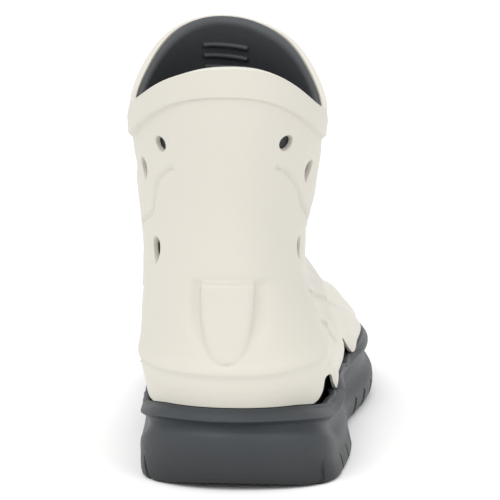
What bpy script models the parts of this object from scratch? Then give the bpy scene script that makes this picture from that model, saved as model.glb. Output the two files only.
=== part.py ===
"""Rubber deck boot, right foot: a moulded foam outer shell over a dark inner bootie, on a thick moulded sole.

World frame: +Y runs from heel to toe, +X is the outer (lateral) side, +Z is up and the floor is z = 0.
Inside the functions y is measured from the rearmost edge of the sole and x from the line through the
middle of the heel. place() moves every finished point so that the origin is the bottom centre of the boot.
"""
import math

import bmesh
import bpy
import numpy as np

# Driving sizes, in metres
LENGTH = 0.300            # rear edge of the sole to its toe
HEIGHT = 0.203            # floor to the front of the collar
BALL_WIDTH = 0.113        # width of the sole across the ball
SHELL_WALL = 0.0030       # outer shell
LINING_WALL = 0.0026      # inner bootie
FIT_GAP = 0.0003          # clearance between two pieces
COLLAR_STEP = 0.0021      # how far the collar band stands proud
COLLAR_BAND_START = 0.876  # where the band starts at the sides and front, as a share of the way up the shell
COLLAR_BAND_RISE = 0.056   # how much further up it starts at the back
RIM_DROP = 0.0012         # how far the bootie stops below the rim of the shell
LIP_BEVEL = 0.0022        # bevel on the inner edge of the bootie
CUP_FLOOR_HEEL = 0.0200
CUP_FLOOR_BALL = 0.0130
INSOLE_THICKNESS = 0.0045
SIDE_HEIGHT = 0.0378      # floor to the rim of the sole at the back of the heel
SIDE_STEP = 0.0032        # depth of the hollow round the side of the sole
TOE_SPRING = 0.0125       # how far the toe of the sole lifts off the floor
HEEL_BEVEL = 0.0040       # how far the rear bottom edge lifts
HEEL_BEVEL_LENGTH = 0.018
GROOVE_WIDTH = 0.0040
GROOVE_DEPTH = 0.0050
GROOVE_WAVE = 0.0040      # how far the channels swing to and fro
LEDGE_WIDTH = 0.0240      # kick-off ledge at the heel
LEDGE_TOP = 0.0950
LEDGE_BOTTOM = 0.0570
LEDGE_PROUD = 0.0034
HOLE_WIDTH = 0.0090       # largest of the holes in the shell
HOLE_HEIGHT = 0.0140
DRAIN_LENGTH = 0.0360     # largest of the drain holes over the rim of the sole
DRAIN_HEIGHT = 0.0120

# Sections of the shell, from below its lower edge to the rim. Each is a closed loop that leans from a
# back point to a front point. Lengths are shares of LENGTH, heights of HEIGHT and widths of BALL_WIDTH.
SHELL_COLUMNS = (
    "level", "back_y", "back_z", "front_y", "front_z", "back_x", "front_x", "heel_round", "toe_round",
    "outer_heel", "outer_waist", "outer_ball", "inner_heel", "inner_waist", "inner_ball", "side_dip",
)
SHELL_SECTIONS = (
    (0.00, 0.0250, 0.1379, 0.9500, 0.1429, 0.0000,-0.0796, 0.150, 0.300, 0.350, 0.389, 0.469, 0.341, 0.403, 0.407, 0.0000),
    (0.07, 0.0200, 0.1847, 0.9600, 0.1872, 0.0000,-0.0796, 0.150, 0.300, 0.365, 0.403, 0.464, 0.361, 0.429, 0.423, 0.0000),
    (0.13, 0.0107, 0.2266, 0.9617, 0.2266, 0.0000,-0.0796, 0.155, 0.310, 0.382, 0.400, 0.404, 0.377, 0.432, 0.427, 0.0000),
    (0.18, 0.0067, 0.2611, 0.9483, 0.2502, 0.0000,-0.0796, 0.160, 0.350, 0.386, 0.384, 0.336, 0.384, 0.421, 0.407, 0.0000),
    (0.26, 0.0117, 0.3251, 0.8967, 0.2783,-0.0027,-0.0841, 0.180, 0.390, 0.366, 0.343, 0.278, 0.382, 0.395, 0.363, 0.0000),
    (0.34, 0.0217, 0.3941, 0.8217, 0.3103,-0.0044,-0.0885, 0.210, 0.430, 0.335, 0.312, 0.258, 0.377, 0.367, 0.327, 0.0000),
    (0.42, 0.0300, 0.4581, 0.7367, 0.3571,-0.0053,-0.0929, 0.250, 0.450, 0.299, 0.288, 0.248, 0.372, 0.358, 0.305, 0.0000),
    (0.50, 0.0350, 0.5222, 0.6483, 0.4163,-0.0071,-0.0973, 0.300, 0.470, 0.295, 0.296, 0.264, 0.370, 0.358, 0.305, 0.0000),
    (0.58, 0.0367, 0.5862, 0.5733, 0.4975,-0.0088,-0.0973, 0.360, 0.500, 0.305, 0.313, 0.280, 0.370, 0.363, 0.314, 0.0049),
    (0.66, 0.0350, 0.6502, 0.5067, 0.5862,-0.0106,-0.0973, 0.420, 0.500, 0.331, 0.343, 0.305, 0.372, 0.370, 0.327, 0.0197),
    (0.74, 0.0307, 0.7143, 0.4617, 0.6847,-0.0133,-0.0973, 0.470, 0.500, 0.359, 0.368, 0.332, 0.379, 0.377, 0.341, 0.0443),
    (0.82, 0.0247, 0.7783, 0.4333, 0.7882,-0.0159,-0.0973, 0.500, 0.500, 0.380, 0.385, 0.363, 0.384, 0.382, 0.361, 0.0739),
    (0.90, 0.0180, 0.8571, 0.4117, 0.8892,-0.0177,-0.1062, 0.500, 0.500, 0.393, 0.396, 0.386, 0.383, 0.382, 0.377, 0.1059),
    (1.00, 0.0127, 0.9581, 0.3933, 0.9951,-0.0195,-0.1062, 0.500, 0.500, 0.407, 0.418, 0.418, 0.384, 0.384, 0.384, 0.1281),
)
STATIONS = (0.16, 0.45, 0.72)  # where along a loop the heel, waist and ball widths are measured

# Outline of the sole: distance from the heel as a share of LENGTH, half widths as shares of BALL_WIDTH
OUTLINE_COLUMNS = ("y", "outer_x", "inner_x")
OUTLINE = (
    (0.0267, 0.2602, -0.2398),
    (0.0733, 0.3850, -0.3602),
    (0.1400, 0.4248, -0.3938),
    (0.2267, 0.4425, -0.4062),
    (0.3267, 0.4327, -0.4257),
    (0.4200, 0.4124, -0.4425),
    (0.5067, 0.4239, -0.4619),
    (0.5933, 0.4504, -0.4823),
    (0.6733, 0.4584, -0.5080),
    (0.7467, 0.4398, -0.5204),
    (0.8133, 0.4009, -0.5115),
    (0.8800, 0.3416, -0.4735),
    (0.9367, 0.2504, -0.3982),
    (0.9767, 0.1301, -0.2788),
)
TOE_TIP_X = -0.0080

# Side of the sole, from the floor up. Insets from the outline are shares of SIDE_STEP and heights shares
# of SIDE_HEIGHT. The height of the last row is counted down from the toothed rim.
SIDE_COLUMNS = ("from_rim", "heel_inset", "heel_z", "ball_inset", "ball_z")
SIDE = (
    (False, 0.25, 0.000, 0.95, 0.000),
    (False, 0.05, 0.080, 0.15, 0.185),
    (False, 0.05, 0.370, 0.25, 0.345),
    (False, 1.00, 0.530, 0.95, 0.515),
    (True, 0.20, 0.225, 0.55, 0.210),
)
RIM_LEDGE = 0.0012        # how far the top of the rim reaches beyond the shell
HEEL_BLOCK_END = 0.285    # where the profile of the heel starts to turn into that of the ball, of LENGTH
BALL_BLOCK_START = 0.450
SPRING_START = 0.683      # where the toe starts to lift, of LENGTH

# Toothed lower edge of the shell and the rim it stands over, as shares of LENGTH and of SIDE_HEIGHT
EDGE_COLUMNS = ("y", "z")
EDGE = (
    (-0.030, 1.000), (0.065, 0.975), (0.130, 0.920), (0.255, 0.915), (0.290, 0.805), (0.330, 0.915),
    (0.505, 0.920), (0.540, 0.815), (0.580, 0.910), (0.755, 0.910), (0.795, 0.805), (0.835, 0.930),
    (1.030, 1.035),
)

# Holes through the shell: side, degrees round its loop from the back, level, and the width and height as
# shares of HOLE_WIDTH and HOLE_HEIGHT
HOLE_COLUMNS = ("side", "turn", "level", "width", "height")
HOLES = (
    (1, 39.5, 0.838, 0.80, 0.55),
    (-1, 43.0, 0.835, 0.80, 0.55),
    (1, 62.0, 0.768, 0.86, 0.74),
    (-1, 61.5, 0.765, 0.86, 0.74),
    (1, 55.0, 0.514, 0.93, 0.87),
    (-1, 41.0, 0.510, 0.93, 0.87),
    (1, 100.0, 0.765, 0.91, 0.86),
    (-1, 100.0, 0.770, 0.91, 0.86),
    (1, 86.0, 0.580, 1.00, 1.00),
    (-1, 84.0, 0.590, 1.00, 1.00),
    (1, 128.0, 0.640, 1.00, 1.00),
    (-1, 130.0, 0.650, 1.00, 1.00),
    (1, 118.0, 0.400, 1.00, 1.07),
    (-1, 120.0, 0.410, 1.00, 1.07),
    (1, 142.0, 0.330, 1.00, 1.00),
    (-1, 144.0, 0.340, 1.00, 1.00),
)
# Drain holes in the lower edge: side, place as shares of LENGTH and SIDE_HEIGHT, and the length and height
# as shares of DRAIN_LENGTH and DRAIN_HEIGHT
DRAIN_COLUMNS = ("side", "y", "z", "length", "height")
DRAINS = (
    (1, 0.222, 0.890, 0.95, 0.96),
    (1, 0.497, 0.900, 0.64, 1.00),
    (1, 0.710, 0.945, 0.50, 1.00),
    (-1, 0.235, 0.905, 0.80, 0.90),
    (-1, 0.490, 0.900, 0.64, 1.00),
    (-1, 0.710, 0.945, 0.50, 1.00),
)
# Channels across the tread: distance from the heel as a share of LENGTH, and the zigzag that each one
# follows, as shares of BALL_WIDTH and of GROOVE_WAVE
GROOVES = (0.057, 0.127, 0.197, 0.267, 0.483, 0.553, 0.623, 0.693, 0.763, 0.833, 0.903)
GROOVE_ZIGZAG = ((-0.66, 1.0), (-0.27, -1.0), (-0.09, 1.0), (0.09, -1.0), (0.27, 1.0), (0.66, -1.0))

REACH = SHELL_WALL + COLLAR_STEP + 0.0020  # how far a hole's cutter reaches in and out from the shell

# Resolution
AROUND = 52
SHELL_LEVELS = (0.07, 0.13, 0.18, 0.235, 0.29, 0.345, 0.40, 0.455, 0.51, 0.565, 0.62, 0.68, 0.74, 0.80)
INNER_LEVELS = SHELL_LEVELS + (0.865, 0.93, 1.0)
LINING_LEVELS = (0.09, 0.18, 0.29, 0.40, 0.51, 0.62, 0.74, 0.865, 0.96)


def clamp01(t):
    return np.clip(t, 0.0, 1.0)


def ease(t):
    t = clamp01(t)
    return t * t * (3.0 - 2.0 * t)


def natural_spline(knots, values, at):
    """A smooth curve through rows of values, straight beyond its ends."""
    knots = np.asarray(knots, float)
    values = np.asarray(values, float)
    count = len(knots)
    step = np.diff(knots)
    system = np.eye(count)
    right = np.zeros_like(values)
    for i in range(1, count - 1):
        system[i, i - 1] = step[i - 1]
        system[i, i] = 2.0 * (step[i - 1] + step[i])
        system[i, i + 1] = step[i]
        right[i] = 6.0 * ((values[i + 1] - values[i]) / step[i] - (values[i] - values[i - 1]) / step[i - 1])
    bend = np.linalg.solve(system, right)
    at = np.asarray(at, float)
    inside = np.clip(at, knots[0], knots[-1])
    k = np.clip(np.searchsorted(knots, inside, side="right") - 1, 0, count - 2)
    h = step[k]
    a = (knots[k + 1] - inside) / h
    b = 1.0 - a
    if values.ndim > 1:
        a, b, h = a[..., None], b[..., None], h[..., None]
    curve = a * values[k] + b * values[k + 1]
    curve = curve + ((a**3 - a) * bend[k] + (b**3 - b) * bend[k + 1]) * h * h / 6.0
    low = (values[1] - values[0]) / step[0] - step[0] * bend[1] / 6.0
    high = (values[-1] - values[-2]) / step[-1] + step[-1] * bend[-2] / 6.0
    over = at - inside
    if values.ndim > 1:
        over = over[..., None]
    return curve + np.where(over < 0.0, low, high) * over


SHELL_TABLE = np.array(SHELL_SECTIONS)
SHELL_SCALE = np.array([LENGTH, HEIGHT, LENGTH, HEIGHT, BALL_WIDTH, BALL_WIDTH, 1.0, 1.0] + [BALL_WIDTH] * 6 + [HEIGHT])


def shell_point(turn, level):
    """The outer form of the shell: turn runs from the back (0) round the outer side to the front (pi)."""
    turn, level = np.broadcast_arrays(np.asarray(turn, float), np.asarray(level, float))
    row = natural_spline(SHELL_TABLE[:, 0], SHELL_TABLE[:, 1:] * SHELL_SCALE, level)
    back_y, back_z, front_y, front_z, back_x, front_x, heel_round, toe_round = np.moveaxis(row[..., :8], -1, 0)
    share = 0.5 - 0.5 * np.cos(turn)
    side = np.sin(turn)
    outer, inner = row[..., 8:11], row[..., 11:14]
    widths = np.where((side >= 0.0)[..., None], outer, inner)
    a, b, c = np.moveaxis(widths, -1, 0)
    sa, sb, sc = STATIONS
    ta, tb = ease((share - sa) / (sb - sa)), ease((share - sb) / (sc - sb))
    width = a + (b - a) * ta + (c - b) * tb
    heel = np.sqrt(1.0 - (1.0 - clamp01(share / heel_round)) ** 2)
    toe = np.sqrt(1.0 - (1.0 - clamp01((1.0 - share) / toe_round)) ** 2)
    x = back_x + (front_x - back_x) * share + np.sign(side) * width * heel * toe
    y = back_y + (front_y - back_y) * share
    z = back_z + (front_z - back_z) * share - row[..., 14] * np.abs(side) ** 3
    return np.stack([x, y, z], -1)


def shell_normal(turn, level):
    step_turn, step_level = 0.02, 0.01
    along = shell_point(turn + step_turn, level) - shell_point(turn - step_turn, level)
    up = shell_point(turn, level + step_level) - shell_point(turn, level - step_level)
    normal = np.cross(along, up)
    return normal / np.linalg.norm(normal, axis=-1, keepdims=True)


def edge_height(y):
    table = np.array(EDGE) * (LENGTH, SIDE_HEIGHT)
    return np.interp(y, table[:, 0], table[:, 1])


def level_at_height(turn, target, inset=0.0):
    """The level at which the form, moved inward by inset, is at a height that depends on its y."""
    low = np.full_like(turn, -0.1)
    high = np.full_like(turn, 0.7)
    for _ in range(26):
        middle = 0.5 * (low + high)
        point = shell_point(turn, middle) - shell_normal(turn, middle) * inset
        below = point[..., 2] < target(point[..., 1])
        low = np.where(below, middle, low)
        high = np.where(below, high, middle)
    return 0.5 * (low + high)


def outline_knots():
    """Angles and x of the outline of the sole, once round, with the heel and the toe tip in it."""
    rows = np.array(OUTLINE)
    angle = np.arccos(1.0 - 2.0 * rows[:, 0])
    angles = np.concatenate([[0.0], angle, [math.pi], (2.0 * math.pi - angle)[::-1]])
    xs = np.concatenate([[0.0], rows[:, 1] * BALL_WIDTH, [TOE_TIP_X], rows[::-1, 2] * BALL_WIDTH])
    wrap = 5
    angles = np.concatenate([angles[-wrap:] - 2 * math.pi, angles, angles[:wrap] + 2 * math.pi])
    return angles, np.concatenate([xs[-wrap:], xs, xs[:wrap]])


OUTLINE_ANGLES, OUTLINE_XS = outline_knots()


def outline_point(angle):
    x = natural_spline(OUTLINE_ANGLES, OUTLINE_XS, angle)
    return np.stack([x, LENGTH * (0.5 - 0.5 * np.cos(angle))], -1)


def outline_inward(angle):
    step = 0.03
    along = outline_point(angle + step) - outline_point(angle - step)
    inward = np.stack([-along[..., 1], along[..., 0]], -1)
    return inward / np.linalg.norm(inward, axis=-1, keepdims=True)


def inset_outline(angle, inset):
    return outline_point(angle) + outline_inward(angle) * np.asarray(inset)[..., None]


def angles_with(count, start, span):
    """Angles round a loop, the nearest moved onto every knee of the toothed edge so both pieces share it."""
    angles = np.arange(count) * 2.0 * math.pi / count
    for y, _ in EDGE[1:-1]:
        knee = math.acos(1.0 - 2.0 * (y * LENGTH - start) / span)
        for target in (knee, 2.0 * math.pi - knee):
            angles[np.argmin(np.abs(angles - target))] = target
    return np.sort(angles)


def floor_lift(y):
    """How far the underside is off the floor: the toe spring and the bevel at the rear."""
    spring = TOE_SPRING * clamp01((y / LENGTH - SPRING_START) / (1.0 - SPRING_START)) ** 1.7
    bevel = HEEL_BEVEL * clamp01(1.0 - y / HEEL_BEVEL_LENGTH) ** 1.5
    return spring + bevel


def cup_floor(y):
    drop = ease((y / LENGTH - 0.20) / 0.43)
    return CUP_FLOOR_HEEL + (CUP_FLOOR_BALL - CUP_FLOOR_HEEL) * drop + floor_lift(y) * (y > LENGTH / 3.0)


def middle_x():
    """Middle of the overall width, from the line through the heel."""
    xs = inset_outline(np.arange(720) * math.pi / 360.0, 0.05 * SIDE_STEP)[..., 0]
    return 0.5 * (xs.min() + xs.max())


def place(points):
    return np.array(points, float) - np.array([middle_x(), LENGTH / 2.0, 0.0])


def new_object(name, verts, faces, colour=None):
    mesh = bpy.data.meshes.new(name)
    mesh.from_pydata([tuple(v) for v in np.asarray(verts).reshape(-1, 3)], [], [tuple(f) for f in faces])
    mesh.validate()
    body = bmesh.new()
    body.from_mesh(mesh)
    bmesh.ops.recalc_face_normals(body, faces=body.faces)
    body.to_mesh(mesh)
    body.free()
    obj = bpy.data.objects.new(name, mesh)
    bpy.context.scene.collection.objects.link(obj)
    if colour is not None:
        obj.data.materials.append(new_material(name, colour))
    return obj


def new_material(name, look):
    colour, roughness = look
    material = bpy.data.materials.new(name)
    material.use_nodes = True
    shader = material.node_tree.nodes["Principled BSDF"]
    shader.inputs["Base Color"].default_value = (*colour, 1.0)
    shader.inputs["Roughness"].default_value = roughness
    return material


def ring_faces(rings, around, closed=False, turn_at=10**6):
    """Quads between rings of points, and from the last ring back to the first when closed. From ring
    turn_at on the rings run downward, and the quads start at another corner so that the diagonals of
    facing walls match."""
    faces = []
    for r in range(rings if closed else rings - 1):
        first, second = r * around, ((r + 1) % rings) * around
        for i in range(around):
            j = (i + 1) % around
            quad = (first + i, first + j, second + j, second + i)
            faces.append(quad if r < turn_at else quad[1:] + quad[:1])
    return faces


def cap_faces(first, around, count_to_toe):
    """Closes a loop with strips across it: point 0 is the heel and point count_to_toe the toe."""
    faces = [(first, first + 1, first + around - 1)]
    for i in range(1, count_to_toe - 1):
        a, b = first + i, first + i + 1
        c, d = first + around - i - 1, first + around - i
        faces.append((a, b, c, d))
    faces.append((first + count_to_toe - 1, first + count_to_toe, first + count_to_toe + 1))
    return faces


def shell_angles():
    return angles_with(AROUND, SHELL_SECTIONS[1][1] * LENGTH, (SHELL_SECTIONS[1][3] - SHELL_SECTIONS[1][1]) * LENGTH)


def skirt_ring(angles, target, depth, drop=0.0):
    """A ring where the form passes a height that depends on y, moved level inward by depth."""
    level = level_at_height(angles, target)
    normal = shell_normal(angles, level)
    normal[:, 2] = 0.0
    normal /= np.linalg.norm(normal, axis=-1, keepdims=True)
    return shell_point(angles, level) - normal * depth - np.array([0.0, 0.0, drop])


def wall_rings(angles, depth, levels):
    """Rings of the form moved inward by depth, the first of them on the toothed lower edge."""
    edge = level_at_height(angles, edge_height)
    rings = [skirt_ring(angles, edge_height, depth)]
    for t in levels:
        level = t + edge * clamp01(1.0 - t / 0.3) ** 2
        rings.append(shell_point(angles, level) - shell_normal(angles, level) * depth)
    return rings


def make_upper():
    angles = shell_angles()
    rings = wall_rings(angles, 0.0, SHELL_LEVELS)
    start = COLLAR_BAND_START + COLLAR_BAND_RISE * clamp01(np.cos(angles)) ** 3
    for level, proud in ((start - 0.008, 0.0), (start, 0.85), (start + 0.020, 1.0), (0.5 * start + 0.5, 0.9)):
        rings.append(shell_point(angles, level) + shell_normal(angles, level) * COLLAR_STEP * proud)
    rings.append(shell_point(angles, 1.0) - shell_normal(angles, 1.0) * SHELL_WALL * 0.35)
    top = len(rings)
    rings += wall_rings(angles, SHELL_WALL, INNER_LEVELS)[::-1]
    faces = ring_faces(len(rings), AROUND, closed=True, turn_at=top)
    return new_object("upper", place(np.concatenate(rings)), faces, ((0.78, 0.75, 0.66), 0.55))


def make_lining():
    angles = shell_angles()
    skin = SHELL_WALL + FIT_GAP
    inside = skin + LINING_WALL
    top = 1.0 - 2.0 * RIM_DROP / HEIGHT
    foot_gap = -2.0 * FIT_GAP
    rings = [skirt_ring(angles, cup_floor, skin, foot_gap)]
    rings += wall_rings(angles, skin, INNER_LEVELS[:-1] + (top,))
    rings.append(shell_point(angles, top) - shell_normal(angles, top) * (inside - LIP_BEVEL))
    top_ring = len(rings)
    rings += wall_rings(angles, inside, LINING_LEVELS)[::-1]
    rings.append(skirt_ring(angles, cup_floor, inside, foot_gap))
    faces = ring_faces(len(rings), AROUND, closed=True, turn_at=top_ring)
    return new_object("lining", place(np.concatenate(rings)), faces, ((0.06, 0.065, 0.07), 0.6))


def sole_ring(angles, row):
    from_rim, heel_inset, heel_z, ball_inset, ball_z = row
    outline_y = outline_point(angles)[..., 1]
    blend = ease((outline_y / LENGTH - HEEL_BLOCK_END) / (BALL_BLOCK_START - HEEL_BLOCK_END))
    flat = inset_outline(angles, SIDE_STEP * (heel_inset + (ball_inset - heel_inset) * blend))
    share = heel_z + (ball_z - heel_z) * blend
    height = SIDE_HEIGHT * share
    if from_rim:
        z = edge_height(flat[..., 1]) - FIT_GAP - height
    else:
        z = height + floor_lift(flat[..., 1]) * (1.0 - 1.25 * share)
    return np.concatenate([flat, z[..., None]], -1)


def make_sole():
    angles = angles_with(AROUND, 0.0, LENGTH)
    around_shell = shell_angles()
    rings = [sole_ring(angles, row) for row in SIDE]
    rings.append(skirt_ring(around_shell, edge_height, -RIM_LEDGE, FIT_GAP))
    rings.append(skirt_ring(around_shell, edge_height, SHELL_WALL, FIT_GAP))
    rings.append(skirt_ring(around_shell, cup_floor, SHELL_WALL))
    faces = ring_faces(len(rings), AROUND, turn_at=len(rings) - 2)
    half = int(np.argmin(np.abs(angles - math.pi)))
    faces += cap_faces(0, AROUND, half)
    faces += cap_faces((len(rings) - 1) * AROUND, AROUND, half)
    return new_object("sole", place(np.concatenate(rings)), faces, ((0.075, 0.082, 0.088), 0.62))


def make_insole():
    angles = shell_angles()
    depth = SHELL_WALL + LINING_WALL + 3.0 * FIT_GAP
    low = skirt_ring(angles, cup_floor, depth, -FIT_GAP)
    rings = [low, low + np.array([0.0, 0.0, INSOLE_THICKNESS])]
    faces = ring_faces(2, AROUND)
    half = int(np.argmin(np.abs(angles - math.pi)))
    faces += cap_faces(0, AROUND, half)
    faces += cap_faces(AROUND, AROUND, half)
    return new_object("insole", place(np.concatenate(rings)), faces, ((0.10, 0.105, 0.11), 0.8))


def as_cutter(obj):
    obj.hide_render = True
    obj.display_type = "WIRE"
    return obj


def apply_boolean(target, others, operation):
    """Joins or cuts the target with the other bodies, as a modifier that stays on it."""
    group = bpy.data.collections.new(target.name + "_" + operation.lower())
    bpy.context.scene.collection.children.link(group)
    for other in others:
        bpy.context.scene.collection.objects.unlink(other)
        group.objects.link(other)
    modifier = target.modifiers.new(operation.title(), "BOOLEAN")
    modifier.operation = operation
    modifier.operand_type = "COLLECTION"
    modifier.collection = group
    modifier.solver = "EXACT"


def prism(name, outline, centre, across, up, outward, reach_in, reach_out):
    """A straight cutter: a flat outline at centre, drawn out along outward both ways."""
    flat = [centre + across * u + up * v for u, v in outline]
    verts = [point - outward * reach_in for point in flat] + [point + outward * reach_out for point in flat]
    count = len(outline)
    faces = [tuple(range(count))[::-1], tuple(range(count, 2 * count))]
    faces += [(i, (i + 1) % count, count + (i + 1) % count, count + i) for i in range(count)]
    return as_cutter(new_object(name, place(np.array(verts)), faces))


def teardrop(width, height, count=12):
    """A drop with its point down, centred on the middle of its height."""
    turns = np.arange(count) * 2.0 * math.pi / count
    return [(0.5 * width * 1.14 * math.sin(t) * abs(math.sin(0.5 * t)) ** 0.8, -0.5 * height * math.cos(t)) for t in turns]


def hole_cutters():
    cutters = []
    for index, (side, degrees, level, width_share, height_share) in enumerate(HOLES):
        width, height = width_share * HOLE_WIDTH, height_share * HOLE_HEIGHT
        turn = side * math.radians(degrees)
        centre = shell_point(turn, level)
        outward = shell_normal(turn, level)
        across = np.cross([0.0, 0.0, 1.0], outward)
        across /= np.linalg.norm(across)
        up = np.cross(outward, across)
        cutters.append(prism(f"hole_cutter_{index}", teardrop(width, height), centre, across, up, outward, REACH, REACH))
    return cutters


def drain_cutters(name):
    cutters = []
    start = SHELL_SECTIONS[1][1] * LENGTH
    span = (SHELL_SECTIONS[1][3] - SHELL_SECTIONS[1][1]) * LENGTH
    for index, (side, y_share, z_share, length_share, height_share) in enumerate(DRAINS):
        turn = np.array([side * math.acos(1.0 - 2.0 * (y_share * LENGTH - start) / span)])
        length, height = length_share * DRAIN_LENGTH, height_share * DRAIN_HEIGHT
        level_z = z_share * SIDE_HEIGHT
        centre = skirt_ring(turn, lambda far: np.full_like(far, level_z), 0.0)[0]
        outward = centre - skirt_ring(turn, lambda far: np.full_like(far, level_z), 0.001)[0]
        outward /= np.linalg.norm(outward)
        up = np.array([0.0, 0.0, 1.0])
        along = np.cross(up, outward) * side
        shape = [(v * length / height, u * height / length) for u, v in teardrop(length, height)]
        shape = [(-u, v) for u, v in shape]
        cutters.append(prism(f"{name}_{index}", shape, centre, along, up, outward, REACH + LINING_WALL, 2.0 * REACH))
    return cutters


def groove_cutters():
    """Zigzag channels across the tread."""
    cutters = []
    for index, y in enumerate(GROOVES):
        corners = [(x * BALL_WIDTH, y * LENGTH + shift * GROOVE_WAVE) for x, shift in GROOVE_ZIGZAG]
        low, high = -GROOVE_DEPTH, float(floor_lift(np.array(y * LENGTH))) + GROOVE_DEPTH
        verts, faces = [], []
        for x, far in corners:
            for dy, z in ((-0.5, low), (0.5, low), (0.42, high), (-0.42, high)):
                verts.append((x, far + dy * GROOVE_WIDTH, z))
        for k in range(len(corners) - 1):
            a, b = 4 * k, 4 * k + 4
            faces += [(a + i, a + (i + 1) % 4, b + (i + 1) % 4, b + i) for i in range(4)]
        last = 4 * len(corners) - 4
        faces += [(3, 2, 1, 0), (last, last + 1, last + 2, last + 3)]
        cutters.append(as_cutter(new_object(f"groove_cutter_{index}", place(np.array(verts)), faces)))
    return cutters


def make_ledge():
    """The kick-off ledge: a shield on the back of the heel, proudest at its flat top."""
    rows, columns = 8, 9
    outer, inner = [], []
    for r in range(rows):
        t = r / (rows - 1.0)
        height = LEDGE_BOTTOM + (LEDGE_TOP - LEDGE_BOTTOM) * t
        half = 0.5 * LEDGE_WIDTH * (1.0 - (1.0 - 0.06 - 0.94 * t) ** 2.4) ** (1.0 / 2.4)
        level = level_at_height(np.zeros(1), lambda far: np.full_like(far, height))[0]
        reach = np.linalg.norm(shell_point(0.05, level) - shell_point(-0.05, level)) / 0.1
        for c in range(columns):
            share = 2.0 * c / (columns - 1.0) - 1.0
            turn = share * half / reach
            point, normal = shell_point(turn, level), shell_normal(turn, level)
            proud = LEDGE_PROUD * (0.12 + 0.88 * t) * (1.0 - 0.35 * abs(share) ** 4)
            outer.append(point + normal * proud)
            inner.append(point - normal * 0.0014)
    verts = np.array(outer + inner)
    count = rows * columns
    faces = []
    for r in range(rows - 1):
        for c in range(columns - 1):
            a = r * columns + c
            quad = (a, a + 1, a + columns + 1, a + columns)
            faces += [quad, tuple(count + i for i in quad[::-1])]
    border = [c for c in range(columns)] + [r * columns + columns - 1 for r in range(1, rows)]
    border += [(rows - 1) * columns + c for c in range(columns - 2, -1, -1)] + [r * columns for r in range(rows - 2, 0, -1)]
    for i, a in enumerate(border):
        b = border[(i + 1) % len(border)]
        faces.append((a, count + a, count + b, b))
    return as_cutter(new_object("ledge", place(verts), faces))


def remove_all():
    for obj in list(bpy.data.objects):
        bpy.data.objects.remove(obj)


def main():
    remove_all()
    sole = make_sole()
    make_insole()
    make_lining()
    upper = make_upper()
    apply_boolean(upper, hole_cutters() + drain_cutters("drain_cutter"), "DIFFERENCE")
    apply_boolean(upper, [make_ledge()], "UNION")
    apply_boolean(sole, groove_cutters() + drain_cutters("notch_cutter"), "DIFFERENCE")


main()
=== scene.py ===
import math

import bmesh
import bpy
import numpy as np
from bpy.props import FloatProperty, FloatVectorProperty, IntProperty, PointerProperty
from mathutils import Matrix, Vector


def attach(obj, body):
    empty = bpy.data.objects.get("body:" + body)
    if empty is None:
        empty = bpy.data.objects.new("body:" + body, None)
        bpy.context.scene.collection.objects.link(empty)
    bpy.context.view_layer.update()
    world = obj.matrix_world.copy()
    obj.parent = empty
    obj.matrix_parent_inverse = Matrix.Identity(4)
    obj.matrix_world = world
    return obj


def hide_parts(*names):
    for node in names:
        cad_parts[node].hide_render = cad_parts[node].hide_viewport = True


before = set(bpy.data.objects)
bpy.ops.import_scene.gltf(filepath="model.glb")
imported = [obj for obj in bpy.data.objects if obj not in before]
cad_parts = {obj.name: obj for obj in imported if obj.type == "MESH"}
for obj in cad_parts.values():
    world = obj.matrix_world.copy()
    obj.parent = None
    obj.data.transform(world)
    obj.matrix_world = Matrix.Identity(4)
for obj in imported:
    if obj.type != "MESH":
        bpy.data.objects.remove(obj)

bl_info = {
    "name": "Deck Boot Dresser",
    "version": (1, 0, 0),
    "blender": (4, 5, 0),
    "location": "3D View > Sidebar > Deck Boot",
    "description": "Builds the finished surfaces of a moulded foam deck boot round its packed frame",
    "category": "Object",
}

# The form. Inside the functions y is measured from the rear edge of the sole and x from the line through
# the middle of the heel, as in the part's source. placed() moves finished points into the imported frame.
LENGTH, HEIGHT, BALL_WIDTH = 0.300, 0.203, 0.113
# Height of the sole's side at the heel, and x of the middle of the boot's box
SIDE_HEIGHT, MIDDLE_X = 0.0378, -0.003746
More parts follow.
